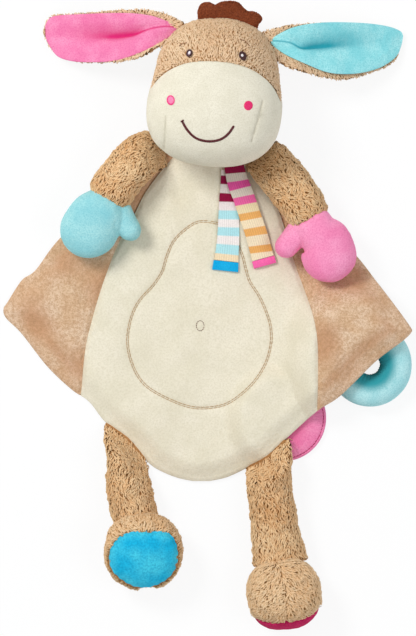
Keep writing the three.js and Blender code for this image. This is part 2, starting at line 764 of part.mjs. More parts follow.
function arm(rootShare, pathShares, length, handShares, thumbShares, block) {
  const upper = armStations(rootShare, pathShares, length);
  const { stations, tip } = mittenStations(upper[upper.length - 1], handShares);
  const whole = directed([...upper, ...stations.slice(1)]);
  const sleeve = whole.slice(0, upper.length);
  const wrist = sleeve[sleeve.length - 1];
  const stuffing = plush + seamGap;
  const cuff = { ...wrist, centre: wrist.centre.clone().addScaledVector(wrist.along, seamGap) };
  const hand = [cuff, ...whole.slice(upper.length)];
  return {
    sleeve: limb(sleeve, 0).subtract(limb(sleeve.slice(1), plush, { openEnd: true })).subtract(block),
    mitten: limb(hand, 0, { tip })
      .add(thumb(wrist, thumbShares, 0))
      .subtract(limb(hand, velour, { tip, openStart: true }).add(thumb(wrist, thumbShares, velour))),
    filling: limb(whole.slice(2), stuffing, { tip }).add(thumb(wrist, thumbShares, stuffing)),
  };
}

// Legs, each with its foot and sole
const legLeftShares = [
  [0, 0.24], [0, 0], [0.005, -0.105], [0.011, -0.211], [0.016, -0.316], [0.021, -0.442], [0.037, -0.621], [0.084, -0.811],
  [0.137, -0.989],
];
const legRightShares = [
  [0, 0.2], [0, 0], [0.004, -0.09], [0.008, -0.18], [0.008, -0.278], [0.012, -0.392], [0.025, -0.572], [0.057, -0.776],
  [0.09, -0.996],
];
const hipLiftShare = 0.45;
const legLeftSwellShares = [1, 1, 0.98, 0.95, 0.96, 0.99, 1.04, 1.05, 1];
const legRightSwellShares = [1.04, 1.04, 1.02, 1.01, 0.99, 0.97, 0.97, 1.01, 1.08];
const footLeftShare = [0.184, -1.221];
const footRightShare = [0.123, -1.258];
const soleLeftFacing = new THREE.Vector3(0.03, -0.24, 0.97).normalize();
const soleRightFacing = new THREE.Vector3(0.12, -0.95, 0.25).normalize();
const footPower = 2.25;

function legStations(rootShare, pathShares, swellShares, length) {
  const root = onBlanket(rootShare);
  const lift = underside(root.x, root.y);
  return directed(pathShares.map(([x, y], i) => ({
    centre: new THREE.Vector3(
      root.x + x * length,
      root.y + y * length,
      legHalfHeight + lift * (1 - ease(-y / hipLiftShare)),
    ),
    halfWidth: legHalfWidth * swellShares[i],
    halfHeight: legHalfHeight,
  })));
}

// The top of a leg is sewn flat into the blanket's edge.
function flattenedAtHip(root) {
  const seamHeight = underside(root.x, root.y) + blanketEdge / 2;
  return (point) => {
    const outside = distanceOutside(point.x, point.y);
    const full = mix(hipFlatness, 1, ease(outside / hipRun));
    return new THREE.Vector3(point.x, point.y, mix(seamHeight, point.z, full));
  };
}

function footAxes(facing) {
  const side = new THREE.Vector3(0, 0, 1).cross(facing);
  if (side.length() < 0.5) side.set(1, 0, 0);
  side.addScaledVector(facing, -side.dot(facing)).normalize();
  return new THREE.Matrix4().makeBasis(side, facing.clone().cross(side), facing);
}

function leg(rootShare, pathShares, swellShares, length, footShare, facing, block) {
  const root = onBlanket(rootShare);
  const stations = legStations(rootShare, pathShares, swellShares, length);
  const shaped = flattenedAtHip(root);
  const upright = Math.abs(facing.z) > 0.7;
  const halves = upright
    ? [footHalfWidth, footHalfLength, footHalfDepth]
    : [footHalfWidth, footHalfDepth, footHalfLength];
  const middle = new THREE.Vector3(
    root.x + footShare[0] * length,
    root.y + footShare[1] * length,
    footHalfDepth,
  );
  const axes = footAxes(facing);
  const foot = (inset, around = 20, levels = 10) => (
    roundForm(middle, eggReach(halves, footPower), inset, { axes, floor: 0, around, levels })
  );
  const tube = limb(stations, 0, { shaped });
  const soleCut = (grow) => {
    const reach = halves[2] * 0.8 - grow;
    const [wide, long] = [soleWidth / 2 + grow, soleLength / 2 + grow];
    const around = 16;
    const ringAt = (height) => Array.from({ length: around }, (_, j) => {
      const turn = (2 * Math.PI * j) / around;
      return new THREE.Vector3(wide * Math.cos(turn), long * Math.sin(turn), height).applyMatrix4(axes).add(middle);
    });
    const endAt = (height) => new THREE.Vector3(0, 0, height).applyMatrix4(axes).add(middle);
    const [low, high] = [reach / 3, halves[2] + overrun];
    return stackedRings([ringAt(low), ringAt(high)], endAt(low), endAt(high));
  };
  const shell = foot(0).subtract(foot(plush));
  return {
    tube: tube.subtract(limb(stations.slice(3), plush, { shaped, openEnd: true })).subtract(foot(-seamGap)).subtract(block),
    foot: shell.subtract(soleCut(seamGap)).subtract(limb(stations.slice(4), plush - seamGap, { shaped })),
    sole: shell.intersect(soleCut(0)),
    filling: limb(stations.slice(4), plush + seamGap, { shaped }).add(foot(plush + seamGap, 10, 5)).subtract(block),
  };
}

// Scarf tails: strips of knitted rib that lie on the belly, the right one over the left one.
const scarfLeftShares = [[0.041, -0.085], [0.04, -0.13], [0.04, -0.175], [0.041, -0.236], [0.039, -0.297], [0.034, -0.353]];
const scarfRightShares = [[0.055, -0.085], [0.064, -0.12], [0.076, -0.16], [0.093, -0.219], [0.109, -0.277], [0.123, -0.337]];
const scarfLeftSwellShares = [0.85, 0.9, 0.95, 1, 1.05, 1.14];
const scarfRightSwellShares = [0.9, 1, 1, 1, 1.02, 1.06];
const scarfOverShares = [1, 1, 1, 1, 0.6, 0.3];

function scarfGrid(pathShares, swellShares, over, steps) {
  const path = new THREE.CatmullRomCurve3(pathShares.map((share) => {
    const p = onBlanket(share);
    return new THREE.Vector3(p.x, p.y, 0);
  }));
  const swell = (t) => {
    const at = t * (swellShares.length - 1);
    const i = Math.min(swellShares.length - 2, Math.floor(at));
    return mix(swellShares[i], swellShares[i + 1], at - i);
  };
  const overAt = (t) => {
    const at = t * (scarfOverShares.length - 1);
    const i = Math.min(scarfOverShares.length - 2, Math.floor(at));
    return mix(scarfOverShares[i], scarfOverShares[i + 1], at - i);
  };
  const top = blanketPad + seamGap + scarfCloth;
  return steps.map((t) => {
    const at = path.getPoint(t);
    const along = path.getTangent(t);
    const side = new THREE.Vector3(-along.y, along.x, 0).multiplyScalar(-scarfHalfWidth * swell(t));
    const z = top + over * (scarfCloth + seamGap) * overAt(t);
    return [-1, 0, 1].map((across) => new THREE.Vector3(
      at.x + side.x * across,
      at.y + side.y * across,
      z,
    ));
  });
}

function scarfTail(pathShares, swellShares, over) {
  const hemStart = 1 - scarfHem / (blanketLength * (pathShares[0][1] - pathShares[pathShares.length - 1][1]));
  const gapShare = seamGap / blanketLength * 5;
  const steps = [0, 0.15, 0.3, 0.45, 0.6, 0.75, hemStart - gapShare];
  const strip = (ts) => {
    const grid = scarfGrid(pathShares, swellShares, over, ts);
    const low = grid.map((row) => row.map((p) => p.clone().add(new THREE.Vector3(0, 0, -scarfCloth))));
    return sheetBetween(low, grid);
  };
  return { tail: strip(steps), hem: strip([hemStart, mix(hemStart, 1, 0.5), 1]) };
}

// Teether ring in its tape loop. The ring leans a little, because one side lies on the tape.
const inward = new THREE.Vector2(-0.66, 0.752).normalize();
const ringLean = Math.asin(tapeRise / (2 * tubeRadius));
const ringAround = 28;
const tubeAround = 10;

function teetherRing() {
  const rings = [];
  for (let i = 0; i < tubeAround; i += 1) {
    const turn = (2 * Math.PI * (i + 0.5)) / tubeAround;
    rings.push(new THREE.Vector2(tubeRadius + tubeHalfWidth * Math.cos(turn), tubeHalfHeight * Math.sin(turn)));
  }
  rings.push(rings[0].clone());
  const geometry = new THREE.LatheGeometry(rings, ringAround);
  geometry.rotateX(Math.PI / 2);
  const lean = new THREE.Matrix4().makeRotationAxis(new THREE.Vector3(inward.y, -inward.x, 0), ringLean);
  geometry.applyMatrix4(lean);
  geometry.computeBoundingBox();
  geometry.translate(ringPlace.x, ringPlace.y, -geometry.boundingBox.min.z);
  return solidOf(geometry);
}

// A band round the tube of the ring, square to the tube. Its corner towards the blanket is sewn flat.
function tapeLoop() {
  const [wide, high] = [tubeHalfWidth + tapeClearance, tubeHalfHeight + tapeClearance];
  const steps = 16;
  const outlineOf = (grow, sewn) => {
    const points = [];
    for (let i = 0; i < steps; i += 1) {
      const turn = (2 * Math.PI * i) / steps;
      const [c, s] = [Math.cos(turn), Math.sin(turn)];
      const square = sewn && c > 0 && s > 0 ? Math.max(c, s) : 1;
      points.push(new THREE.Vector2(((wide + grow) * c) / square, ((high + grow) * s) / square));
    }
    return points;
  };
  const shape = new THREE.Shape(outlineOf(tapeCloth, true));
  shape.holes.push(new THREE.Path(outlineOf(0, false)));
  const geometry = new THREE.ExtrudeGeometry(shape, { depth: tapeWidth, bevelEnabled: false });
  geometry.translate(0, 0, -tapeWidth / 2);
  const across = new THREE.Vector3(inward.x, inward.y, 0);
  const up = new THREE.Vector3(0, 0, 1);
  geometry.applyMatrix4(new THREE.Matrix4().makeBasis(across, up, across.clone().cross(up)));
  const middle = ringPlace.clone().addScaledVector(inward, tubeRadius);
  geometry.translate(middle.x, middle.y, high + tapeCloth);
  return solidOf(geometry);
}

// Grab disc: two round cloths sewn at the rim over a flat pad, on a short tape.
// Lathes turn about +Y, so each is stood up and put in its place.
function stoodUp(solidGeometry, place, height) {
  const geometry = solidGeometry.clone();
  geometry.rotateX(Math.PI / 2);
  geometry.translate(place.x, place.y, height);
  return solidOf(geometry);
}

function discParts() {
  const rimHeight = discRim / 2;
  const steps = 5;
  const dome = (radius, height, from) => {
    const points = [];
    for (let i = 0; i <= steps; i += 1) {
      const turn = ((Math.PI / 2) * i) / steps;
      points.push(new THREE.Vector2(radius * Math.sin(turn), from + height * Math.cos(turn)));
    }
    return points;
  };
  const front = [
    ...dome(discRadius, discHeight - rimHeight - seamGap / 2, seamGap / 2),
    ...dome(discRadius - discCloth, discHeight - rimHeight - seamGap / 2 - discCloth, seamGap / 2).reverse(),
  ];
  const back = [
    new THREE.Vector2(0, -rimHeight),
    new THREE.Vector2(discRadius * 0.96, -rimHeight),
    new THREE.Vector2(discRadius, -seamGap / 2),
    new THREE.Vector2(0, -seamGap / 2),
  ];
  const pad = [
    new THREE.Vector2(0, seamGap / 2),
    ...dome(
      discRadius - discCloth - seamGap,
      discHeight - rimHeight - discCloth - 2 * seamGap,
      seamGap / 2,
    ).reverse(),
  ];
  const lathe = (profile) => new THREE.LatheGeometry(profile, formAround);
  return {
    front: stoodUp(lathe(front), discPlace, rimHeight),
    back: stoodUp(lathe(back), discPlace, rimHeight),
    pad: stoodUp(lathe(pad), discPlace, rimHeight),
  };
}

function discTape() {
  const start = discRadius + seamGap;
  const side = new THREE.Vector2(-inward.y, inward.x).multiplyScalar(tapeWidth / 2);
  const near = discPlace.clone().addScaledVector(inward, start);
  const far = near.clone().addScaledVector(inward, discTapeLength);
  return prism([near.clone().add(side), near.clone().sub(side), far.clone().sub(side), far.clone().add(side)], 0, tapeCloth);
}

// Materials
function cloth(color, roughness) {
  return new THREE.MeshStandardMaterial({ color, roughness, metalness: 0 });
}
const tanPlush = cloth('#cda47a', 0.95);
const tanVelour = cloth('#d2ae8c', 0.9);
const creamVelour = cloth('#e9e4d0', 0.9);
const pinkVelour = cloth('#f58bb8', 0.85);
const aquaVelour = cloth('#8fdde3', 0.85);
const blueVelour = cloth('#18b4dc', 0.85);
const berryVelour = cloth('#b01c4e', 0.85);
const brownFleece = cloth('#7a3a22', 0.95);
const stuffing = cloth('#f4f2ec', 1);
const darkThread = cloth('#3a1c1c', 0.5);
const maroonThread = cloth('#4a0e14', 0.5);
const pinkThread = cloth('#f0387f', 0.5);
const scarfKnit = cloth('#f0ddb2', 0.9);
const ribbon = cloth('#e9e4d0', 0.5);
const ringVelour = cloth('#8cd0d6', 0.8);

// The whole toy
const lovey = new THREE.Group();

function piece(name, solid, material) {
  const mesh = new THREE.Mesh(geometryOf(largest(solid)), material);
  mesh.name = name;
  lovey.add(mesh);
}

const sheets = blanketSheets();
const panels = frontPanels(sheets.front);
const block = blanketBlock(seamGap);
const hipBlock = blanketBlock(hipGap);
piece('blanket_back', sheets.back, tanVelour);
piece('blanket_wadding', sheets.wadding, stuffing);
piece('belly_panel', panels.belly, creamVelour);
piece('side_panel_left', panels.left, tanVelour);
piece('side_panel_right', panels.right, tanVelour);
piece('neck_roll', neckRoll(0).subtract(block), tanPlush);

const head = headParts();
piece('head_cover', head.cover, tanPlush);
piece('muzzle_cover', head.muzzle, creamVelour);
piece('head_filling', head.filling, stuffing);
piece('mane', mane(), brownFleece);
piece('eye_left', oval(eyeLeftShare, eyeWidth, eyeLength * 0.85, -0.35), darkThread);
piece('eye_right', oval(eyeRightShare, eyeWidth, eyeLength, 0.4), darkThread);
piece('nostril_left', oval(nostrilLeftShare, nostrilWidth, nostrilLength, 0.2), pinkThread);
piece('nostril_right', oval(nostrilRightShare, nostrilWidth, nostrilLength, -0.2), pinkThread);
piece('mouth_line', mouthLine(), maroonThread);

const earLeft = ear(earLeftShares, earLeftRootShare);
const earRight = ear(earRightShares, earRightRootShare);
piece('ear_left_back', earLeft.back, tanPlush);
piece('ear_left_lining', earLeft.lining, pinkVelour);
piece('ear_right_back', earRight.back, tanPlush);
piece('ear_right_lining', earRight.lining, aquaVelour);

const armLeft = arm(
  shoulderLeftShare, armLeftShares, armLeftLength, mittenLeftShares, thumbLeftShares, block,
);
const armRight = arm(
  shoulderRightShare, armRightShares, armRightLength, mittenRightShares, thumbRightShares, block,
);
piece('arm_left_sleeve', armLeft.sleeve, tanPlush);
piece('arm_left_filling', armLeft.filling, stuffing);
piece('mitten_left', armLeft.mitten, aquaVelour);
piece('arm_right_sleeve', armRight.sleeve, tanPlush);
piece('arm_right_filling', armRight.filling, stuffing);
piece('mitten_right', armRight.mitten, pinkVelour);

const legLeft = leg(
  hipLeftShare, legLeftShares, legLeftSwellShares, legLeftLength, footLeftShare, soleLeftFacing, hipBlock,
);
const legRight = leg(
  hipRightShare, legRightShares, legRightSwellShares, legRightLength, footRightShare, soleRightFacing, hipBlock,
);
piece('leg_left_cover', legLeft.tube, tanPlush);
piece('foot_left_cover', legLeft.foot, tanPlush);
piece('sole_left', legLeft.sole, blueVelour);
piece('leg_left_filling', legLeft.filling, stuffing);
piece('leg_right_cover', legRight.tube, tanPlush);
piece('foot_right_cover', legRight.foot, tanPlush);
piece('sole_right', legRight.sole, berryVelour);
piece('leg_right_filling', legRight.filling, stuffing);

const scarfLeft = scarfTail(scarfLeftShares, scarfLeftSwellShares, 0);
const scarfRight = scarfTail(scarfRightShares, scarfRightSwellShares, 1);
piece('scarf_tail_left', scarfLeft.tail, scarfKnit);
piece('scarf_hem_blue', scarfLeft.hem, blueVelour);
piece('scarf_tail_right', scarfRight.tail, scarfKnit);
piece('scarf_hem_pink', scarfRight.hem, pinkVelour);

piece('teether_ring', teetherRing(), ringVelour);
piece('teether_tape', tapeLoop(), ribbon);
const grabDisc = discParts();
piece('disc_front', grabDisc.front, pinkVelour);
piece('disc_back', grabDisc.back, pinkVelour);
piece('disc_pad', grabDisc.pad, stuffing);
piece('disc_tape', discTape(), ribbon);

// The origin is the middle of the footprint, on the surface that the toy lies on.
const bounds = new THREE.Box3().setFromObject(lovey);
const footprint = bounds.getCenter(new THREE.Vector3());
lovey.position.set(-footprint.x, -footprint.y, -bounds.min.z);

export default lovey;
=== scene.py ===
# A donkey comfort blanket: a stuffed head, arms and legs sewn to a small padded blanket, lying
# on its back. Lengths in the sections are millimetres and become metres when a mesh is made.
import math
import bpy
import numpy as np
from mathutils import Matrix, Vector


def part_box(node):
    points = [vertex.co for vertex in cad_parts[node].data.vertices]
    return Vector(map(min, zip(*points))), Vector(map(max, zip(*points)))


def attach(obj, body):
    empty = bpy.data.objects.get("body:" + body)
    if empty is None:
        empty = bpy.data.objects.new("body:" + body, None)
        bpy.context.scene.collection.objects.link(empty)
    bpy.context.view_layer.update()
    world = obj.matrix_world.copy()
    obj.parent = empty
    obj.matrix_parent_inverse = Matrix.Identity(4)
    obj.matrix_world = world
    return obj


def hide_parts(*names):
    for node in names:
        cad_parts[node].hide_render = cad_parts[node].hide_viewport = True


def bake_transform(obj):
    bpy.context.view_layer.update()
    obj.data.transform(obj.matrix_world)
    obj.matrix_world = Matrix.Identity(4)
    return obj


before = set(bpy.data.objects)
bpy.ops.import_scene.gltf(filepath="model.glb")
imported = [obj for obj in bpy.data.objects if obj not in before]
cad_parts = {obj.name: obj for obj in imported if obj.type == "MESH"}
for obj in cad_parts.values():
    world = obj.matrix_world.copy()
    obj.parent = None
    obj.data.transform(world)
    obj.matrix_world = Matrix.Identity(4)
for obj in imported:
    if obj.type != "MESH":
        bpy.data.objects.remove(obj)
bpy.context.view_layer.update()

# The camera looks straight down on the toy, as the photograph does, from far enough away that
# the thick head hides no more of the blanket than it does there. The picture is 416 x 636.
picture_rows, row_high = 636, 0.70
picture_high = picture_rows * row_high
camera_up, toy_middle_up = 4200.0, 30.0
lens = bpy.data.cameras.new("camera")
lens.sensor_fit = 'VERTICAL'
lens.sensor_height = 24.0
lens.lens = lens.sensor_height * (camera_up - toy_middle_up) / picture_high
lens.clip_end = 20.0
camera = bpy.data.objects.new("camera", lens)
camera.location = (0.0005, -0.0005, camera_up / 1000)
bpy.context.scene.collection.objects.link(camera)
bpy.context.scene.camera = camera

# The toy lies on a seamless white sheet in a light box. The sheet looks white to the camera and
# still takes the toy's soft shadow.
bpy.context.scene.view_settings.view_transform = 'Standard'
paper_mesh = bpy.data.meshes.new("paper")
paper_mesh.from_pydata([(x, y, -0.0004) for x, y in ((-6, -6), (6, -6), (6, 6), (-6, 6))], [], [(0, 1, 2, 3)])
paper = bpy.data.objects.new("paper", paper_mesh)
bpy.context.scene.collection.objects.link(paper)
paper_look = bpy.data.materials.new("white paper")
paper_look.use_nodes = True
paper_tree = paper_look.node_tree
paper_lit = paper_tree.nodes["Principled BSDF"]
paper_lit.inputs["Base Color"].default_value = (0.93, 0.93, 0.93, 1)
paper_lit.inputs["Roughness"].default_value = 1.0
paper_lit.inputs["Specular IOR Level"].default_value = 0.0
paper_white = paper_tree.nodes.new("ShaderNodeEmission")


def seen_directly(tree, strength):
    """How far a ray shows its backdrop as white: one from the camera, off a shine or through glass."""
    ray = tree.nodes.new("ShaderNodeLightPath")
    share = ray.outputs["Is Camera Ray"]
    for kind in ("Is Glossy Ray", "Is Transmission Ray"):
        either = tree.nodes.new("ShaderNodeMath")
        either.operation = 'MAXIMUM'
        tree.links.new(share, either.inputs[0])
        tree.links.new(ray.outputs[kind], either.inputs[1])
        share = either.outputs[0]
    scaled = tree.nodes.new("ShaderNodeMath")
    scaled.operation = 'MULTIPLY'
    scaled.inputs[1].default_value = strength
    tree.links.new(share, scaled.inputs[0])
    return scaled.outputs[0]


paper_mix = paper_tree.nodes.new("ShaderNodeMixShader")
paper_tree.links.new(seen_directly(paper_tree, 0.88), paper_mix.inputs["Fac"])
paper_tree.links.new(paper_lit.outputs["BSDF"], paper_mix.inputs[1])
paper_tree.links.new(paper_white.outputs["Emission"], paper_mix.inputs[2])
paper_tree.links.new(paper_mix.outputs["Shader"], paper_tree.nodes["Material Output"].inputs["Surface"])
paper_mesh.materials.append(paper_look)

world = bpy.data.worlds.new("light box")
world.use_nodes = True
bpy.context.scene.world = world
sky = world.node_tree
sky.nodes["Background"].inputs["Color"].default_value = (1.0, 1.0, 1.0, 1)
sky.nodes["Background"].inputs["Strength"].default_value = 0.52
sky_white = sky.nodes.new("ShaderNodeBackground")
sky_white.inputs["Color"].default_value = (1.0, 1.0, 1.0, 1)
sky_mix = sky.nodes.new("ShaderNodeMixShader")
sky.links.new(seen_directly(sky, 1.0), sky_mix.inputs["Fac"])
sky.links.new(sky.nodes["Background"].outputs["Background"], sky_mix.inputs[1])
sky.links.new(sky_white.outputs["Background"], sky_mix.inputs[2])
sky.links.new(sky_mix.outputs["Shader"], sky.nodes["World Output"].inputs["Surface"])


def soft_box(name, place, size, power, tint):
    """A round lamp that looks at the toy's middle."""
    lamp = bpy.data.lights.new(name, 'AREA')
    lamp.shape = 'DISK'
    lamp.size = size
    lamp.energy = power
    lamp.color = tint
    holder = bpy.data.objects.new(name, lamp)
    holder.location = place
    holder.rotation_euler = (-Vector(place)).to_track_quat('-Z', 'Y').to_euler()
    bpy.context.scene.collection.objects.link(holder)


soft_box("key soft box", (-0.9, 0.75, 1.35), 0.6, 18.0, (1.0, 1.0, 1.0))
soft_box("fill soft box", (1.2, -0.4, 1.5), 1.2, 8.8, (0.94, 0.99, 1.08))

# The blanket is the toy's body: two cloths sewn together round a thin wadding. Its front is
# a cream velour belly between two tan short-plush wings, its back one tan cloth. The hem is
# turned, so it ends in a soft round edge. It rides over the ring and the disc at one side.
blanket_wide = 287.0
blanket_long = 240.0
hem_thick = 3.5
pad_thick = 9.0
cloth_thick = 1.3
wing_rolls = (27, 12)  # the size and seed of the wings' soft rolls
left_hem_shares = [
    (-0.059, 0), (-0.127, -0.017), (-0.249, -0.152), (-0.372, -0.283), (-0.433, -0.378), (-0.467, -0.408),
    (-0.502, -0.472), (-0.512, -0.492), (-0.506, -0.519), (-0.467, -0.566), (-0.405, -0.661),
    (-0.345, -0.729), (-0.302, -0.765), (-0.262, -0.825), (-0.207, -0.875), (-0.155, -0.945),
    (-0.123, -0.970), (-0.083, -0.989), (-0.038, -1)]
right_hem_shares = [
    (0.063, 0), (0.122, -0.023), (0.239, -0.184), (0.356, -0.338), (0.402, -0.41), (0.44, -0.471),
    (0.484, -0.544), (0.487, -0.561), (0.463, -0.589), (0.402, -0.644), (0.314, -0.746), (0.259, -0.79),
    (0.19, -0.864), (0.135, -0.926), (0.080, -0.963), (0.036, -0.987), (-0.005, -0.998)]
left_seam_shares = [
    (-0.062, 0), (-0.101, -0.054), (-0.16, -0.145), (-0.193, -0.222), (-0.227, -0.294), (-0.249, -0.357),
    (-0.273, -0.437), (-0.294, -0.523), (-0.311, -0.612), (-0.322, -0.745)]
right_seam_shares = [
    (0.066, 0), (0.102, -0.073), (0.137, -0.146), (0.168, -0.219), (0.202, -0.355), (0.225, -0.431),
    (0.244, -0.499), (0.256, -0.571), (0.259, -0.656), (0.257, -0.792)]
ring_share = (0.387, -0.656)
disc_share = (0.174, -0.813)
back_low, back_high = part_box("blanket_back")
neck_seam_x = back_low[0] * 1000 + 0.512 * blanket_wide
neck_seam_y = back_high[1] * 1000


def on_blanket(shares):
    """Places in plan, from shares of the blanket's width and length off the middle of its neck seam."""
    return np.array(shares, float) * (blanket_wide, blanket_long) + (neck_seam_x, neck_seam_y)


def smooth_path(points, steps=12):
    """A dense curve through points of any dimension, rounded between them."""
    points = np.asarray(points, float)
    padded = np.vstack([2 * points[0] - points[1], points, 2 * points[-1] - points[-2]])
    t = np.linspace(0, 1, steps, endpoint=False)[:, None]
    parts = []
    for i in range(1, len(padded) - 2):
        a, b, c, d = padded[i - 1:i + 3]
        parts.append(0.5 * (2 * b + (c - a) * t + (2 * a - 5 * b + 4 * c - d) * t ** 2
                            + (3 * b - a - 3 * c + d) * t ** 3))
    return np.vstack(parts + [points[-1:]])


def even_path(points, count):
    """The same curve, resampled at even spacing."""
    points = np.asarray(points, float)
    steps = np.r_[0, np.cumsum(np.linalg.norm(np.diff(points, axis=0), axis=1))]
    at = np.linspace(0, steps[-1], count)
    return np.stack([np.interp(at, steps, points[:, k]) for k in range(points.shape[1])], -1)


def ease(t):
    """A soft step from 0 to 1."""
    t = np.clip(t, 0, 1)
    return t * t * (3 - 2 * t)


def waves(points, size, seed):
    """A smooth random field, mostly from -1 to 1, whose hills are about size across."""
    rng = np.random.default_rng(seed)
    trains = 14
    total = np.zeros(points.shape[:-1])
    for _ in range(trains):
        way = rng.normal(size=points.shape[-1])
        way *= rng.uniform(0.7, 1.5) * math.pi / size / np.linalg.norm(way)
        total += np.sin(points @ way + rng.uniform(0, 2 * math.pi))
    return total / math.sqrt(trains) / 1.4


def away_from(points, path):
    """Distance in plan from each point to a path."""
    flat = points.reshape(-1, points.shape[-1])[:, :2]
    least = np.full(len(flat), 1e9)
    for a, b in zip(path[:-1, :2], path[1:, :2]):
        along = b - a
        t = np.clip(((flat - a) @ along) / max(along @ along, 1e-9), 0, 1)
        least = np.minimum(least, np.linalg.norm(flat - a - t[:, None] * along, axis=1))
    return least.reshape(points.shape[:-1])


def hem_chain(shares):
    """An edge of the blanket that never turns back towards the neck."""
    path = smooth_path(on_blanket(shares))
    path[:, 1] = np.minimum.accumulate(path[:, 1])
    return path


left_hem, right_hem = hem_chain(left_hem_shares), hem_chain(right_hem_shares)
left_seam, right_seam = hem_chain(left_seam_shares), hem_chain(right_seam_shares)
whole_hem = np.vstack([left_hem, right_hem[::-1], left_hem[:1]])
ring_at, disc_at = on_blanket(ring_share), on_blanket(disc_share)


def across(path, y):
    """Where an edge is at a distance down the blanket."""
    return np.interp(-y, -path[:, 1], path[:, 0])


def tented(points, place, flat_radius, run, height):
    """The height of cloth that lies over a round thing and slopes down beside it."""
    away = np.linalg.norm(points[..., :2] - place, axis=-1)
    return height * ease(1 - (away - flat_radius) / run)


def under_blanket(points):
    """The height of what the blanket lies on: the ring and the disc, or nothing."""
    return np.maximum(tented(points, ring_at, 41.0, 30.0, 21.9), tented(points, disc_at, 27.5, 15.0, 9.3))


def lower_crease(points, hem_away):
    """How deep in the long crease, inside the lower hem of each wing, a point is."""
    aside = points[..., 0] - neck_seam_x
    outer = np.where(aside > 0, aside - 72, -aside - 84)
    low = ease(outer / 12) * ease((neck_seam_y - 112 - points[..., 1]) / 20)
    return low * np.exp(-((hem_away - 12.5) / 5.0) ** 2)


def blanket_top(points, hem_away):
    """Height of the front cloth, with its soft folds and the hollow of each seam."""
    aside, down = points[..., 0] - neck_seam_x, points[..., 1] - neck_seam_y
    rise = hem_thick * 0.5 + hem_thick * 0.45 * np.sqrt(np.clip(hem_away / 2.2, 0, 1))
    rise = rise + (pad_thick - hem_thick) * ease(hem_away / 15)
    soft = ease(hem_away / 10)
    rise = rise + soft * (0.75 * waves(points, 34, 3) + 0.35 * waves(points, 13, 5))
    folded = np.exp(-((down + 38) / 30) ** 2)
    rise = rise + soft * folded * 0.8 * np.sin((aside - 0.10 * down) / 11 + 0.8 * waves(points, 30, 8))
    rise = rise + soft * ease((np.abs(aside) - 75) / 25) * 1.7 * waves(points, *wing_rolls)
    return under_blanket(points) + rise - 1.9 * lower_crease(points, hem_away)


def near_to(away, width):
    """1 on a line and less and less with the distance from it."""
    return np.exp(-(away / width) ** 2)


def seam_hollow(points, path, depth=1.5, width=1.7):
    """How far a seam pulls the cloth down, puckered along it."""
    away = away_from(points, path)
    pucker = 0.3 * waves(points, 3.2, 21) * near_to(away, 3 * width)
    return pucker - depth * near_to(away, width) - 0.45 * depth * near_to(away, 3.5 * width)


def raised(flat, height):
    """Plan points lifted to a height."""
    return np.concatenate([flat, height[..., None]], -1)


def facing_out(points, faces):
    """The faces of a closed mesh, turned so that they face outwards."""
    a, b, c = points[np.array([f[:3] for f in faces])].transpose(1, 0, 2)
    swept = np.sum((a - points.mean(0)) * np.cross(b - a, c - a))
    return faces if swept > 0 else [tuple(f)[::-1] for f in faces]


def sewn_piece(name, points, faces, look, tip=None, tone=None):
    """A mesh piece in the toy's frame.

    tip is how far along a lock a point is, which also sets the painted shade at its root and sides, or how much
    painted shade a point takes in a fold or a shaded place, or how far down a scarf's tail it is; tone is how light
    its lock is, partly at random and partly painted light on the higher locks, or how high a knit rib stands."""
    mesh = bpy.data.meshes.new(name)
    mesh.from_pydata((np.asarray(points) / 1000).tolist(), [], [tuple(int(i) for i in f) for f in faces])
    for label, values in (("tip", tip), ("tone", tone)):
        if values is not None:
            mesh.attributes.new(label, 'FLOAT', 'POINT').data.foreach_set("value", np.asarray(values, np.float32))
    mesh.polygons.foreach_set("use_smooth", np.ones(len(mesh.polygons), bool))
    mesh.materials.append(look)
    piece = bpy.data.objects.new(name, mesh)
    bpy.context.scene.collection.objects.link(piece)
    return piece


def closed_cloth(top, bottom):
    """Points and faces of a cloth between two grids of points."""
    rows, columns = top.shape[:2]
    n = rows * columns
    at = np.arange(n).reshape(rows, columns)
    upper = np.stack([at[:-1, :-1], at[1:, :-1], at[1:, 1:], at[:-1, 1:]], -1).reshape(-1, 4)
    rim = np.r_[at[0, :-1], at[:-1, -1], at[-1, :0:-1], at[:0:-1, 0]]
    after = np.roll(rim, -1)
    sides = np.stack([rim, after, after + n, rim + n], -1)
    points = np.vstack([top.reshape(-1, 3), bottom.reshape(-1, 3)])
    return points, facing_out(points, np.vstack([upper, upper[:, ::-1] + n, sides]).tolist())


def unit(vectors, least=1e-9):
    """The same directions, one long."""
    return vectors / np.maximum(np.linalg.norm(vectors, axis=-1, keepdims=True), least)


def run_along(path):
    """The distance along a path to each of its points."""
    return np.r_[0, np.cumsum(np.linalg.norm(np.diff(path, axis=0), axis=1))]


stitch_spots = np.array([0, 0.18, 0.5, 0.82, 1])
stitch_lifts, stitch_fats = (-0.1, 0.1, 0.18, 0.1, -0.1), (0.35, 0.95, 1, 0.95, 0.35)


def stitches(path, long, gap, thick):
    """Points and faces of a row of raised six-sided thread stitches along a path on a surface."""
    run = run_along(path)
    points, faces = [], []
    for start in np.arange(0, run[-1] - long * 0.6, long + gap):
        spine = np.stack([np.interp(start + long * stitch_spots, run, path[:, k]) for k in range(3)], -1)
        way = unit(spine[-1] - spine[0])
        side = unit(np.cross(way, (0, 0, 1.0)))
        up = np.cross(side, way)
        first = len(points)
        for centre, lift, fat in zip(spine, stitch_lifts, stitch_fats):
            for turn in np.arange(6) * math.pi / 3:
                points.append(centre + up * (lift + thick * fat * math.sin(turn)) + side * thick * fat * math.cos(turn))
        for ring in range(4):
            for k in range(6):
                a, b = first + ring * 6 + k, first + ring * 6 + (k + 1) % 6
                faces.append((a, b, b + 6, a + 6))
        faces.append(tuple(first + k for k in range(5, -1, -1)))
        faces.append(tuple(first + 24 + k for k in range(6)))
    return np.array(points), faces


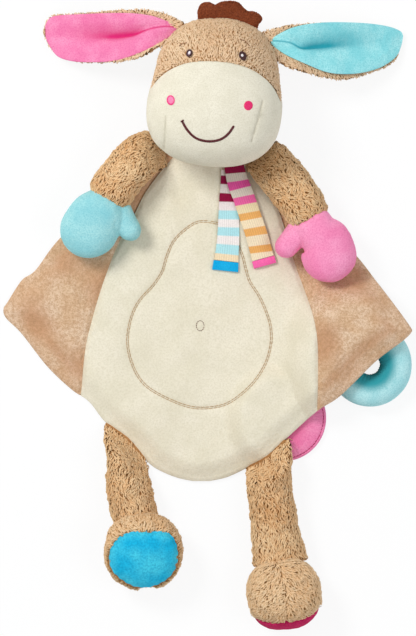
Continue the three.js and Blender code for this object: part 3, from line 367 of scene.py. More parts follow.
def paint(code):
    """A colour from its web code, as the light values that the shaders take."""
    parts = [int(code[i:i + 2], 16) / 255 for i in (1, 3, 5)]
    return tuple(c / 12.92 if c < 0.04045 else ((c + 0.055) / 1.055) ** 2.4 for c in parts) + (1.0,)


def node(tree, kind, **values):
    """A shader node with its settings and the values on its sockets."""
    made = tree.nodes.new(kind)
    for key, value in values.items():
        if hasattr(made, key):
            setattr(made, key, value)
        else:
            made.inputs[key.replace("_", " ")].default_value = value
    return made


def own_place(tree):
    return node(tree, "ShaderNodeTexCoord").outputs["Object"]


def carried(tree, label):
    """A value that the mesh itself carries, tip or tone."""
    return node(tree, "ShaderNodeAttribute", attribute_name=label).outputs["Fac"]


def grain(tree, place, size, detail=2.0):
    """A noise whose spots are about size millimetres across."""
    made = node(tree, "ShaderNodeTexNoise", Scale=1000.0 / size, Detail=detail, Roughness=0.55)
    tree.links.new(place, made.inputs["Vector"])
    return made.outputs["Fac"]


def blended(tree, share, first, second):
    """One colour over another, by share."""
    made = node(tree, "ShaderNodeMix", data_type='RGBA')
    tree.links.new(share, made.inputs["Factor"])
    for socket, value in ((made.inputs[6], first), (made.inputs[7], second)):
        if isinstance(value, tuple):
            socket.default_value = value
        else:
            tree.links.new(value, socket)
    return made.outputs[2]


def stretched(tree, value, low, high, to_low=0.0, to_high=1.0):
    """A value from one range spread over another, cut off at its ends."""
    made = node(tree, "ShaderNodeMapRange")
    tree.links.new(value, made.inputs["Value"])
    for name, number in (("From Min", low), ("From Max", high), ("To Min", to_low), ("To Max", to_high)):
        made.inputs[name].default_value = number
    return made.outputs["Result"]


def cloth_look(name, roughness, sheen, sheen_colour):
    """A new material for cloth, its tree of nodes and its shader."""
    look = bpy.data.materials.new(name)
    look.use_nodes = True
    shader = look.node_tree.nodes["Principled BSDF"]
    shader.inputs["Roughness"].default_value = roughness
    shader.inputs["Specular IOR Level"].default_value = 0.12
    shader.inputs["Sheen Weight"].default_value = sheen
    shader.inputs["Sheen Roughness"].default_value = 0.45
    shader.inputs["Sheen Tint"].default_value = sheen_colour
    return look, look.node_tree, shader


def bumped(tree, shader, height, deep):
    """Relief that is deep millimetres deep."""
    made = node(tree, "ShaderNodeBump", Strength=1.0, Distance=deep / 1000)
    tree.links.new(height, made.inputs["Height"])
    tree.links.new(made.outputs["Normal"], shader.inputs["Normal"])


def velour(name, light, mid, deep, nap=1.1, bump=0.16, sheen=0.25):
    """Short brushed pile: a fine grain, and broad patches where the nap lies the other way."""
    look, tree, shader = cloth_look(name, 0.92, sheen, paint(light))
    place = own_place(tree)
    fine, soft = grain(tree, place, nap), grain(tree, place, 17.0, 1.0)
    colour = blended(tree, stretched(tree, soft, 0.35, 0.65), paint(mid), paint(light))
    colour = blended(tree, stretched(tree, fine, 0.62, 0.28, 0.0, 0.55), colour, paint(deep))
    tree.links.new(colour, shader.inputs["Base Color"])
    bumped(tree, shader, fine, bump)
    return look


cream_velour = velour("cream velour", "#E9E2CE", "#E2DBC5", "#CEC6AC", nap=1.2, bump=0.14)


def short_plush(name, light, mid, deep, fold):
    """Clipped plush: pale fibre ends over a deeper ground, painted darker down in a fold as shade."""
    look, tree, shader = cloth_look(name, 0.95, 0.25, paint(light))
    place = own_place(tree)
    ends, strokes, soft = grain(tree, place, 1.0, 1.0), grain(tree, place, 2.3), grain(tree, place, 15.0, 1.0)
    colour = blended(tree, stretched(tree, soft, 0.35, 0.65), paint(mid), paint(light))
    colour = blended(tree, stretched(tree, carried(tree, "tip"), 0.0, 1.0, 0.0, 0.62), colour, paint(fold))
    colour = blended(tree, stretched(tree, strokes, 0.58, 0.36, 0.0, 0.45), colour, paint(deep))
    colour = blended(tree, stretched(tree, ends, 0.56, 0.34, 0.0, 0.55), colour, paint(deep))
    tree.links.new(colour, shader.inputs["Base Color"])
    bumped(tree, shader, ends, 0.4)
    return look


# The last colour is painted shade, for the folds of the wings.
tan_short_plush = short_plush("tan short plush", "#E6CCB0", "#DAB997", "#B08761", "#BE8660")


def blanket_grid(path_a, path_b, rows, columns, squeeze=1.0):
    """Rows of plan points between two edges, from the neck seam down, closest together at the edges."""
    low = max(path_a[-1, 1], path_b[-1, 1])
    high = min(path_a[0, 1], path_b[0, 1])
    y = high - (high - low) * (1 - (1 - np.linspace(0, 1, rows)) ** squeeze)
    west, east = across(path_a, y), across(path_b, y)
    even = np.linspace(0, 1, columns)
    t = 0.45 * (0.5 - 0.5 * np.cos(even * math.pi)) + 0.55 * even
    x = west[:, None] + (east - west)[:, None] * t
    return np.stack([x, np.repeat(y[:, None], columns, 1)], -1)


belly_left = np.vstack([left_seam, left_hem[left_hem[:, 1] < left_seam[-1, 1]]])
belly_right = np.vstack([right_seam, right_hem[right_hem[:, 1] < right_seam[-1, 1]]])
pear_shares = [(-0.010, -0.236), (-0.038, -0.239), (-0.068, -0.262), (-0.094, -0.294), (-0.110, -0.335),
               (-0.122, -0.382), (-0.144, -0.423), (-0.176, -0.465), (-0.193, -0.501), (-0.204, -0.547),
               (-0.207, -0.595), (-0.198, -0.647), (-0.178, -0.696), (-0.146, -0.732), (-0.083, -0.769),
               (-0.035, -0.783), (0.020, -0.777), (0.059, -0.754), (0.102, -0.707), (0.130, -0.655),
               (0.144, -0.598), (0.144, -0.547), (0.133, -0.501), (0.115, -0.454), (0.093, -0.413),
               (0.083, -0.376), (0.073, -0.331), (0.055, -0.287), (0.025, -0.248), (-0.010, -0.236)]
pear = even_path(smooth_path(on_blanket(pear_shares)), 420)
navel_turns = np.linspace(0, 2 * math.pi, 60)
navel = on_blanket((-0.029, -0.542)) + np.stack([2.7 * np.cos(navel_turns), 3.6 * np.sin(navel_turns)], -1)
# The folds under the chin: where each runs, how deep and how wide it is.


chin_folds = [([(-25.5, 118.0), (-24.0, 104.0), (-21.0, 92.0), (-18.5, 80.0)], 1.9, 4.5),
              ([(-3.0, 118.0), (-2.2, 104.0), (-1.5, 90.0)], 1.1, 4.0),
              ([(-41.0, 84.0), (-36.0, 70.0), (-34.0, 56.0)], 0.9, 6.0)]


def belly_height(flat):
    """Height of the cream panel: sunk at its seams, at the pear's and the navel's stitches and in folds."""
    height = blanket_top(flat, away_from(flat, whole_hem))
    height = height + seam_hollow(flat, left_seam) + seam_hollow(flat, right_seam)
    stitched = away_from(flat, pear)
    height = height - 0.85 * near_to(stitched, 1.5) - 0.5 * near_to(stitched, 6)
    height = height - 0.6 * near_to(away_from(flat, navel), 1.3)
    for run, deep, wide in chin_folds:
        run = smooth_path(run)
        ends = ease((flat[..., 1] - run[-1, 1] + 6) / 12) * ease((run[0, 1] + 30 - flat[..., 1]) / 10)
        height = height - deep * ends * near_to(away_from(flat, run), wide)
    return height + 0.10 * waves(flat, 2.4, 31)


def front_panel(name, flat, height, look, tip=None):
    """A cloth of the front, always clear of what the blanket lies on."""
    under = under_blanket(flat)
    height = np.maximum(height, under + cloth_thick + 0.3)
    points, faces = closed_cloth(raised(flat, height), raised(flat, np.maximum(height - cloth_thick, under + 0.2)))
    panel = sewn_piece(name, points, faces, look, tip=None if tip is None else np.r_[tip.ravel(), tip.ravel()])
    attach(panel, "blanket")
    return panel


belly_flat = blanket_grid(belly_left, belly_right, 200, 150, 1.35)
belly = front_panel("belly", belly_flat, belly_height(belly_flat), cream_velour)
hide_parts("belly_panel", "blanket_wadding")

for side, edges, seam in (("left", (left_hem, left_seam), left_seam), ("right", (right_seam, right_hem), right_seam)):
    flat = blanket_grid(*edges, 170, 70)
    hem_away = away_from(flat, whole_hem)
    under_arm = near_to(away_from(flat, seam), 11.0) * ease((flat[..., 1] - 50.0) / 18.0)
    height = blanket_top(flat, hem_away) + seam_hollow(flat, seam) - 1.5 * under_arm
    height = height + 0.22 * waves(flat, 1.9, 41) + 0.12 * waves(flat, 1.1, 42)
    # The wings are painted darker as shade in the hollows of their rolls, in the crease inside the lower hem and beside
    # the arms, which shade them.
    fold = np.clip(0.25 - 0.9 * waves(flat, *wing_rolls) * ease(hem_away / 12), 0, 1)
    fold = np.maximum(np.maximum(fold, 0.85 * lower_crease(flat, hem_away)), 1.15 * under_arm)
    wing = front_panel("wing_" + side, flat, height, tan_short_plush, tip=fold)
    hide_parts("side_panel_" + side)


def thread(name, colour, deep, shine=0.35):
    """Embroidery thread: fine strands with a soft shine."""
    look, tree, shader = cloth_look(name, 0.55, 0.1, paint(colour))
    shader.inputs["Specular IOR Level"].default_value = shine
    strands = grain(tree, own_place(tree), 0.5, 3.0)
    darkened = blended(tree, stretched(tree, strands, 0.35, 0.65), paint(deep), paint(colour))
    tree.links.new(darkened, shader.inputs["Base Color"])
    bumped(tree, shader, strands, 0.1)
    return look


def beside(path, offset):
    """A plan path moved sideways."""
    way = unit(np.gradient(path, axis=0))
    return path + offset * np.stack([-way[:, 1], way[:, 0]], -1)


def both(first, second):
    """Points and faces of two forms in one mesh."""
    after = len(first[0])
    return np.vstack([first[0], second[0]]), list(first[1]) + [tuple(i + after for i in f) for f in second[1]]


# The pear on the belly is two rows of tan lockstitch pulled down through the wadding, and the
# navel is one small oval of the same machine stitch in a greyer brown.
tan_thread = thread("tan thread", "#CCAE86", "#A5845A")
navel_thread = thread("navel thread", "#A08878", "#705A50")
rows = []
for offset in (-0.62, 0.62):
    row = beside(pear, offset)
    rows.append(stitches(np.column_stack([row, belly_height(row) + 0.14]), 3.2, 0.02, 0.26))
pear_stitch = sewn_piece("pear_stitch", *both(*rows), tan_thread)
navel_row = np.column_stack([navel, belly_height(navel) + 0.16])
navel_stitch = sewn_piece("navel_stitch", *stitches(navel_row, 1.3, 0.2, 0.26), navel_thread)
for piece in (pear_stitch, navel_stitch):
    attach(piece, "blanket")

# The back is one tan cloth, cut like the front, sewn to it all round and turned.
back_columns, turned_in = 110, 0.35
back_y = np.linspace(neck_seam_y - 0.4, neck_seam_y - blanket_long + 1.0, 120)
back_x = np.linspace(across(left_hem, back_y) + turned_in, across(right_hem, back_y) - turned_in, back_columns, axis=-1)
back_flat = np.stack([back_x, np.repeat(back_y[:, None], back_columns, 1)], -1)
back_hem = away_from(back_flat, whole_hem)
back_low = under_blanket(back_flat) + 0.15 + 0.35 * (1 - np.clip(back_hem / 2.0, 0, 1)) ** 2
back_points, back_faces = closed_cloth(raised(back_flat, back_low + 1.2), raised(back_flat, back_low))
blanket_back_cloth = sewn_piece("blanket_back_cloth", back_points, back_faces, tan_short_plush)
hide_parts("blanket_back")
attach(blanket_back_cloth, "blanket")

# A stuffed roll closes the blanket's neck edge and carries the head.
roll_radius, roll_half, roll_up = 12.0, 14.0, 14.5


def round_turns(count):
    """Even steps once round."""
    return np.linspace(0, 2 * math.pi, count, endpoint=False)


roll_angle, roll_round = np.meshgrid(np.linspace(0, math.pi, 41), round_turns(48), indexing='ij')
roll_end, roll_side = np.cos(roll_angle), np.sin(roll_angle)
lumps = waves(np.stack([roll_end, roll_side * np.cos(roll_round), np.sin(roll_round)], -1), 0.5, 51)
roll_fat = roll_radius - 0.4 + 0.25 * lumps
neck_points = np.stack([neck_seam_x + roll_fat * roll_end + roll_half * np.clip(3 * roll_end, -1, 1),
                        neck_seam_y + 5.6 + roll_fat * roll_side * np.cos(roll_round),
                        roll_up + roll_fat * roll_side * np.sin(roll_round)], -1)


def closed_rings(rings):
    """Points and faces of rings of points joined in order, closed by a point at each end."""
    count, around = rings.shape[:2]
    points = np.vstack([rings.reshape(-1, 3), rings[0].mean(0)[None], rings[-1].mean(0)[None]])
    at = np.arange(count * around).reshape(count, around)
    after = np.roll(at, -1, axis=1)
    faces = np.stack([at[:-1], after[:-1], after[1:], at[1:]], -1).reshape(-1, 4).tolist()
    faces += [(int(after[0, j]), int(at[0, j]), count * around) for j in range(around)]
    faces += [(int(at[-1, j]), int(after[-1, j]), count * around + 1) for j in range(around)]
    return points, facing_out(points, faces)


neck_cushion = sewn_piece("neck_cushion", *closed_rings(neck_points[1:-1]), tan_short_plush)
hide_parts("neck_roll")
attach(neck_cushion, "blanket")

# The head is a stuffed ball of tan long plush with a fat cream muzzle let into its front. The
# plush is knitted with its pile, so the pile is cut in one piece with the cover.
head_wide, head_long, head_deep = 87.0, 91.0, 74.0
muzzle_wide, muzzle_long, muzzle_deep = 93.0, 73.0, 74.0
head_middle = np.array([3.6 + neck_seam_x, 40.1 + neck_seam_y, 37.0])
muzzle_middle = np.array([1.1 + neck_seam_x, 17.5 + neck_seam_y, 48.0])
muzzle_roll = math.radians(-4.5)
fullness = 2.35  # 2 is an ellipse, and more is squarer, as a hard stuffed head is
floor_up = 0.05
face_middle = (head_middle + muzzle_middle) / 2
pile_deep = 1.5


def unrolled(points):
    """Plan offsets from the muzzle's middle, turned so that the muzzle stands straight."""
    x, y = points[..., 0] - muzzle_middle[0], points[..., 1] - muzzle_middle[1]
    c, s = math.cos(-muzzle_roll), math.sin(-muzzle_roll)
    return c * x - s * y, s * x + c * y


def head_field(points):
    """Below 1 inside the head and the muzzle, which are grown together."""
    off = np.abs(points - head_middle) / (head_wide / 2, head_long / 2, head_deep / 2)
    ball = ((off[..., 0] ** fullness + off[..., 1] ** fullness) ** (2 / fullness) + off[..., 2] ** 2) ** 0.5
    x, y = unrolled(points)
    off = np.stack([x / muzzle_wide, y / muzzle_long, (points[..., 2] - muzzle_middle[2]) / muzzle_deep]) * 2
    muzzle = (np.abs(off) ** fullness).sum(0) ** (1 / fullness)
    sharp = 11
    return -np.log(np.exp(-sharp * ball) + np.exp(-sharp * muzzle)) / sharp


def furthest(is_inside, count, far, steps):
    """How far each of count searches goes and is still inside."""
    near, far = np.zeros(count), np.full(count, far)
    for _ in range(steps):
        tried = (near + far) / 2
        inside = is_inside(tried)
        near, far = np.where(inside, tried, near), np.where(inside, far, tried)
    return near


def head_surface(ways, start=face_middle):
    """Where rays from inside the head come out of it; it is flat where it rests."""
    reach = furthest(lambda tried: head_field(start + ways * tried[..., None]) < 1, ways.shape[:-1], 160.0, 24)
    points = start + ways * reach[..., None]
    if start is not face_middle:
        return points
    to_floor = (face_middle[2] - floor_up) / np.maximum(face_middle[2] - points[..., 2], 1e-6)
    return start + (points - start) * np.where(points[..., 2] < floor_up, to_floor, 1.0)[..., None]


def face_point(x, y, lift=0.0):
    """The face's surface above places in plan."""
    start = np.stack([x, y, np.full(np.shape(x), face_middle[2])], -1)
    return head_surface(np.broadcast_to((0, 0, 1.0), start.shape), start) + (0, 0, lift)


def past_seam(points):
    """Below 0 on the cream muzzle, above 0 on the tan head."""
    x, y = unrolled(points)
    x, y = x / (muzzle_wide / 2), y / (muzzle_long / 2)
    turn = np.arctan2(y, x)
    c, s = np.cos(turn), np.sin(turn)
    for _ in range(3):
        below = np.where(s < 0, 1.25, 1.02)
        wide = 1.02 + 0.23 * ease(0.5 - s)
        turn = np.arctan2(y / below, x / wide)
        c, s = np.cos(turn), np.sin(turn)
    size = (np.abs(x / wide) ** fullness + np.abs(y / below) ** fullness) ** (1 / fullness)
    return np.maximum((size - 1) * 40, 20.0 - points[..., 2])


pole = np.array([0.0, -0.34, 1.0]) / math.hypot(0.34, 1.0)
pole_side = np.array([1.0, 0, 0])
pole_up = np.cross(pole, pole_side)


def pole_ways(tilt, turn):
    """Directions out of the head, tilted away from the middle of the muzzle."""
    return (np.cos(tilt)[..., None] * pole
            + np.sin(tilt)[..., None] * (np.cos(turn)[..., None] * pole_side + np.sin(turn)[..., None] * pole_up))


def evened(values, rounds):
    """Values round a ring, each drawn towards its neighbours."""
    for _ in range(rounds):
        values = (np.roll(values, 1) + 2 * values + np.roll(values, -1)) / 4
    return values


seam_turns = round_turns(300)
seam_tilt = evened(furthest(lambda tried: past_seam(head_surface(pole_ways(tried, seam_turns))) < 0, 300, 2.6, 22), 3)
muzzle_seam = head_surface(pole_ways(seam_tilt, seam_turns))


def normals_of(grid):
    """Outward normals of a grid of points whose columns close on themselves."""
    out = unit(np.cross(np.gradient(grid, axis=0), np.roll(grid, -1, axis=1) - np.roll(grid, 1, axis=1)))
    middle = grid.reshape(-1, 3).mean(0)
    return out if np.sum(out * (grid - middle)) > 0 else -out


def surface_facts(points, faces):
    """Triangles, their areas and the smooth normal at every point of a mesh."""
    triangles = np.array([(f[0], f[k], f[k + 1]) for f in faces for k in range(1, len(f) - 1)])
    a, b, c = points[triangles].transpose(1, 0, 2)
    cross = np.cross(b - a, c - a)
    normals = np.zeros_like(points)
    for k in range(3):
        np.add.at(normals, triangles[:, k], cross)
    return triangles, np.linalg.norm(cross, axis=1) / 2, unit(normals, 1e-12)


def wander(points, size, seed):
    """A smooth random direction at every point."""
    return np.stack([waves(points, size, seed + k) for k in range(3)], -1)


# One lock is four rings of three points and a tip. For each ring: its height, how far along the
# lock it is, its thickness, and how much of the tip's colour its crest and its sides have; the rest is painted shade.
lock_points = 13
lock_rings = ((-0.25, 0.0, 0.8, 0.0, 0.0), (0.72, 0.18, 1.0, 0.72, 0.0),
              (1.0, 0.5, 0.95, 1.0, 0.2), (0.93, 0.8, 0.66, 1.0, 0.36))
lock_tip_up, lock_tip_value = 0.66, 0.86


def tufted(name, points, faces, look, flow, each, long, wide, stand, curl, swirl, seed, keep, tuck=False):
    """Pile over a closed mesh: short wavy locks that lie down along flow and swirl a little.

    each is the cloth per lock in square millimetres, stand how high the pile stands off it, keep
    where it grows, and tuck turns the locks of an underside inwards, so that none sticks out past
    the edge."""
    rng = np.random.default_rng(seed)
    triangles, areas, normals = surface_facts(points, faces)
    areas = areas * keep(points[triangles].mean(1))
    total = areas.sum()
    count = int(total / each)
    spots = (np.arange(count) + rng.random(count)) / count * total
    chosen = triangles[np.searchsorted(np.cumsum(areas), spots).clip(0, len(areas) - 1)]
    a, b = rng.random(count), rng.random(count)
    over = a + b > 1
    a, b = np.where(over, 1 - a, a), np.where(over, 1 - b, b)
    share = np.stack([1 - a - b, a, b], -1)[..., None]
    roots = (points[chosen] * share).sum(1)
    out = unit((normals[chosen] * share).sum(1))
    way = flow(roots)
    way = np.where(tuck & (out[:, 2:] < -0.1), -way, way)
    way = unit(way - out * (way * out).sum(-1, keepdims=True))
    side = np.cross(out, way)
    turn = (curl * (0.95 * waves(roots, swirl, seed + 3) + 0.5 * rng.normal(size=count)))[:, None]
    way, side = np.cos(turn) * way + np.sin(turn) * side, np.cos(turn) * side - np.sin(turn) * way
    rise = stand * rng.uniform(0.45, 1.15, count) * (1 + 0.16 * waves(roots, swirl * 0.8, seed + 7))
    lean = long * rng.uniform(0.75, 1.2, count)
    fat = wide * rng.uniform(0.75, 1.2, count)
    bow = 0.16 * lean * rng.uniform(0.3, 1.0, count)
    phase = rng.uniform(-0.6, 0.6, count) + np.where(rng.random(count) < 0.5, 0.0, math.pi)

    def spine(high, far):
        middle = roots + out * (rise * high)[:, None] + way * (lean * (far - 0.35))[:, None]
        return middle + side * (bow * np.sin(phase + 4.2 * far) * (far > 0))[:, None]

    locks = np.empty((count, lock_points, 3))
    tip = []
    for k, (high, far, thick, crest, flank) in enumerate(lock_rings):
        middle = spine(high, far)
        for j, (up, aside) in enumerate(((0.48, 0.0), (-0.16, -0.5), (-0.16, 0.5))):
            locks[:, 3 * k + j] = middle + out * (fat * thick * up)[:, None] + side * (fat * thick * aside)[:, None]
        tip += [crest, flank, flank]
    locks[:, -1] = spine(lock_tip_up, 1.0)
    tip.append(lock_tip_value)
    locks[..., 2] = np.maximum(locks[..., 2], floor_up)
    first = np.arange(count) * lock_points
    quads, ends = [], []
    for j, after in ((0, 1), (1, 2), (2, 0)):
        ends.append(np.stack([first + 9 + j, first + 9 + after, first + 12], -1))
        for k in (0, 3, 6):
            quads.append(np.stack([first + k + j, first + k + after, first + k + 3 + after, first + k + 3 + j], -1))
    # Higher locks get a lighter tone and lower ones a darker, as painted light and shade; on top of that the tone
    # differs at random.
    lift = (rise / stand - 0.85) * 0.35
    tone = 0.5 + lift + 0.30 * (rng.random(count) - 0.5) + 0.12 * waves(roots, 17, seed + 5)
    pile_mesh = sewn_piece(name, locks.reshape(-1, 3), np.concatenate(quads).tolist() + np.concatenate(ends).tolist(),
                           look, np.tile(tip, count), np.repeat(np.clip(tone, 0, 1), lock_points))
    # The light falls on a lock as much from how the cloth lies as from the lock's own roundness.
    own = locks - (roots + out * (rise * 0.3)[:, None] + way * (lean * 0.1)[:, None])[:, None]
    own = unit(own - way[:, None] * (own * way[:, None]).sum(-1, keepdims=True) * 0.7, 1e-6)
    soft = unit(out[:, None] * 0.6 + own * 0.9)
    pile_mesh.data.normals_split_custom_set_from_vertices(soft.reshape(-1, 3).tolist())
    return pile_mesh


def long_pile(name, light, mid, deep, sheen=0.22):
    """Tufts painted deep at the root and down their sides as shade and light at the tip, each a little different in
    tone.
    """
    look, tree, shader = cloth_look(name, 0.95, sheen, paint(light))
    shader.inputs["Specular IOR Level"].default_value = 0.05
    tone = carried(tree, "tone")
    body = blended(tree, stretched(tree, tone, 0.15, 0.85), paint(mid), paint(light))
    colour = blended(tree, stretched(tree, carried(tree, "tip"), 0.12, 0.68), paint(deep), body)
    colour = blended(tree, stretched(tree, tone, 0.32, 0.05, 0.0, 0.5), colour, paint(deep))
    tree.links.new(colour, shader.inputs["Base Color"])
    return look


tan_pile = long_pile("tan long pile", "#F4D6AA", "#E0AC76", "#9E6430")
tan_backing = velour("tan pile backing", "#C0905E", "#AE7C4A", "#8C5A2E", nap=0.9, bump=0.3)

# The cushion runs on under the muzzle panel, deeper, as far as the seam's share of its rows.
head_share, seam_share = np.linspace(0, 1, 150)[:, None], 0.4
head_tilts = np.where(head_share < seam_share, seam_tilt * head_share / seam_share,
                      seam_tilt + (math.pi - 0.02 - seam_tilt) * (head_share - seam_share) / (1 - seam_share))
head_tilts = np.maximum(head_tilts, 0.02)
head_grid = head_surface(pole_ways(head_tilts, np.broadcast_to(seam_turns, head_tilts.shape)))
sunk = np.where(head_share < seam_share, 2.9 - 1.4 * ease((head_share - 0.34) / 0.06), pile_deep)
head_base = head_grid - normals_of(head_grid) * (sunk - 0.30 * waves(head_grid, 2.6, 61))[..., None]
head_base[..., 2] = np.maximum(head_base[..., 2], 0.6)
head_points, head_faces = closed_rings(head_base)
head_cushion = sewn_piece("head_cushion", head_points, head_faces, tan_backing)


def head_flow(points):
    """The pile is combed from the muzzle up over the crown and down the sides."""
    away = points - (muzzle_middle + (0, 6.0, 20.0))
    away = away * (1.35 * ease((past_seam(points) + 0.5) / 4.5) - 0.35)[:, None]
    return away + 4.0 * wander(points, 16, 71)


# Each eye's place in shares of the head, its width, its height and how far it leans.
eye_places = [(-0.224, 0.210, 4.1, 5.6, -0.35), (0.203, 0.189, 4.9, 6.6, 0.4)]


def on_head(*shares):
    """Places in plan, from shares of the head's width and length off its middle."""
    return head_middle[:2] + np.array(shares) * (head_wide, head_long)


def furry_head(places):
    """The tan part of the head, but not where the eyes are embroidered through the pile."""
    kept = (past_seam(places) > -0.9).astype(float)
    for x, y, _, high, _ in eye_places:
        kept *= (places[:, 2] <= 40) | (np.linalg.norm(places[:, :2] - on_head(x, y), axis=1) > high * 0.42)
    return kept


head_fur = long_pile("head long pile", "#F6DEBC", "#E6BE95", "#C0946A")
head_piles = [tufted(name, head_points, head_faces, head_fur, head_flow, each=each, long=2.7, wide=0.85, stand=0.95,
                     curl=0.5, swirl=5.0, seed=3, keep=lambda p: furry_head(p) * ((p[:, 2] > 36) == front))
              for name, each, front in (("head_pile_front", 1.0, True), ("head_pile_back", 1.1, False))]
for piece in (head_cushion, *head_piles):
    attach(piece, "head")
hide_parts("head_cover", "head_filling")


def lining_look(name, light, mid, deep, valley, bump=0.16):
    """Velour painted darker down in the fold, as shade."""
    look, tree, shader = cloth_look(name, 0.92, 0.2, paint(light))
    place = own_place(tree)
    fine, soft = grain(tree, place, 0.9), grain(tree, place, 12.0, 1.0)
    colour = blended(tree, stretched(tree, soft, 0.35, 0.65), paint(mid), paint(light))
    colour = blended(tree, stretched(tree, fine, 0.60, 0.30, 0.0, 0.65), colour, paint(deep))
    colour = blended(tree, stretched(tree, carried(tree, "tip"), 0.0, 1.0, 0.0, 0.95), colour, paint(valley))
    tree.links.new(colour, shader.inputs["Base Color"])
    bumped(tree, shader, fine, bump)
    return look


# The muzzle is one panel of cream short velour with two small darts, sewn into the head all
# round and stuffed so hard that the seam sinks between it and the pile.
cream_muzzle = lining_look("cream muzzle velour", "#E8E3D1", "#E1DCC9", "#CFC8B2", "#A0957A", bump=0.1)
dart_paths = [[(-29.2, 138.8), (-29.7, 128.5), (-30.3, 117.1)], [(38.8, 149.8), (35.2, 136.2), (30.9, 121.6)]]
panel_share = (np.linspace(0, 1, 120) ** 0.85)[:, None]
panel_tilts = np.maximum(seam_tilt * panel_share, 0.004)
panel = head_surface(pole_ways(panel_tilts, np.broadcast_to(seam_turns, panel_tilts.shape)))
panel_out = normals_of(panel)
seam_away = np.linalg.norm(panel - muzzle_seam[None], axis=-1)
sink = 1.7 * near_to(seam_away, 1.5) + 0.35 * near_to(seam_away, 5)
shade = np.zeros(panel.shape[:2])
in_front = panel[..., 2] > 25
for dart in dart_paths:
    dart_away = away_from(panel, smooth_path(dart))
    sink = sink + in_front * (0.62 * near_to(dart_away, 0.8) + 0.22 * near_to(dart_away, 3))
    shade = np.maximum(shade, in_front * (0.42 + 0.2 * waves(panel, 4, 83)) * near_to(dart_away, 0.5))
sink = sink - 0.07 * waves(panel, 9, 81) - 0.05 * waves(panel, 2.2, 82)
panel_top = panel - panel_out * sink[..., None]
panel_low = panel - panel_out * (sink + 1.2)[..., None]
muzzle_points, muzzle_faces = closed_rings(np.concatenate([panel_top, panel_low[::-1]]))
shade = np.r_[shade.ravel(), shade[::-1].ravel(), np.zeros(len(muzzle_points) - 2 * shade.size)]
muzzle_panel = sewn_piece("muzzle_panel", muzzle_points, muzzle_faces, cream_muzzle, tip=shade)
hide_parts("muzzle_cover")
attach(muzzle_panel, "head")

# The eyes, nostrils and mouth are satin stitch: flat raised pads of thread laid side by side.
# Each eye is a dark brown ring round a lilac grey middle with a white glint.
brown_thread = thread("dark brown thread", "#4A2626", "#2E1414")
lilac_thread = thread("lilac grey thread", "#A08C9C", "#83707F")
white_thread = thread("white thread", "#FBF6F4", "#E9E0E0")
pink_thread = thread("pink thread", "#F2468C", "#D92C72")
# A deeper copy of the pink thread is painted shade, for the right nostril on the muzzle's shaded side.
shaded_pink_thread = thread("shaded pink thread", "#EC2870", "#CC1A5C")
pale_pink_thread = thread("pale pink thread", "#F78DB4", "#EC6C9C")
maroon_thread = thread("maroon thread", "#5C141C", "#3C080E")


def looped_faces(count, around):
    """Faces of rings of points joined in order, the last to the first."""
    at = np.arange(count * around).reshape(count, around)
    down = np.roll(at, -1, axis=0)
    return np.stack([at, down, np.roll(down, -1, axis=1), np.roll(at, -1, axis=1)], -1).reshape(-1, 4).tolist()


def stitched_oval(name, look, middle, wide, long_, lean, lift, high, hollow=0.0, teeth=0):
    """A raised oval pad of thread on the face, or a ring of it where hollow is over 0."""
    around = 72
    turns = round_turns(around)
    ragged = 1 + 0.03 * np.sin(teeth * turns) if teeth else 1.0
    c, s = math.cos(lean), math.sin(lean)
    sunk = lift - 0.55

    def oval(size, up, edge):
        x, y = np.cos(turns) * wide / 2 * size * edge, np.sin(turns) * long_ / 2 * size * edge
        return face_point(middle[0] + c * x - s * y, middle[1] + s * x + c * y, up)

    if not hollow:
        profile = [(0.04, 1.0), (0.5, 1.0), (0.85, 0.85), (0.98, 0.45), (1.0, 0.0)]
        rings = [oval(size, lift + high * rise, ragged) for size, rise in profile]
        rings += [oval(1.0, sunk, ragged), oval(0.98, sunk, ragged)]
        return sewn_piece(name, *closed_rings(np.array(rings)), look)
    profile = [(hollow, 0.0), (hollow + 0.02, 0.55), ((1 + hollow) / 2, 1.0), (0.97, 0.6), (1.0, 0.0)]
    rings = [oval(size, lift + high * rise, ragged) for size, rise in profile]
    rings += [oval(1.0, sunk, ragged), oval(hollow, sunk, 1.0)]
    points, faces = np.vstack(rings), looped_faces(len(rings), around)
    _, _, normals = surface_facts(points, faces)
    crest = slice(2 * around, 3 * around)
    return sewn_piece(name, points, faces if normals[crest, 2].mean() > 0 else [f[::-1] for f in faces], look)


face_pieces = []
for side, (x, y, wide, long_, lean), centre_thread, glint_shift, glint_high in zip(
        ("left", "right"), eye_places, (lilac_thread, brown_thread), (0.15, -0.35), (0.40, 0.30)):
    middle = on_head(x, y)
    dark = stitched_oval("eye_ring_" + side, brown_thread, middle, wide, long_, lean, 0.1, 1.15, hollow=0.50, teeth=23)
    grey = stitched_oval("eye_middle_" + side, centre_thread, middle, wide * 0.62, long_ * 0.62, lean, 0.1, 0.85)
    glint = stitched_oval("eye_glint_" + side, white_thread, middle + (glint_shift, 0.25), wide * 0.36,
                          long_ * glint_high, lean, 0.75, 0.5)
    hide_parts("eye_" + side)
    face_pieces += [(dark, "dark_thread"), (grey, "dark_thread"), (glint, "dark_thread")]
for side, x, y, wide, long_, lean, nostril_thread in (("left", -0.371, -0.154, 5.6, 7.1, 0.15, pink_thread),
                                                      ("right", 0.247, -0.196, 6.1, 6.7, -0.3, shaded_pink_thread)):
    middle = on_head(x, y)
    pad = stitched_oval("nostril_" + side, nostril_thread, middle, wide, long_, lean, 0.0, 0.62, teeth=29)
    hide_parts("nostril_" + side)
    face_pieces.append((pad, "pink_thread"))
    if side == "left":
        # The left nostril's pale middle is a painted highlight on its satin stitch.
        nostril_highlight = stitched_oval("nostril_middle_left", pale_pink_thread, middle + (0.1, 0.1), 4.3, 5.4, lean, 0.30, 0.42)
        face_pieces.append((nostril_highlight, "pink_thread"))

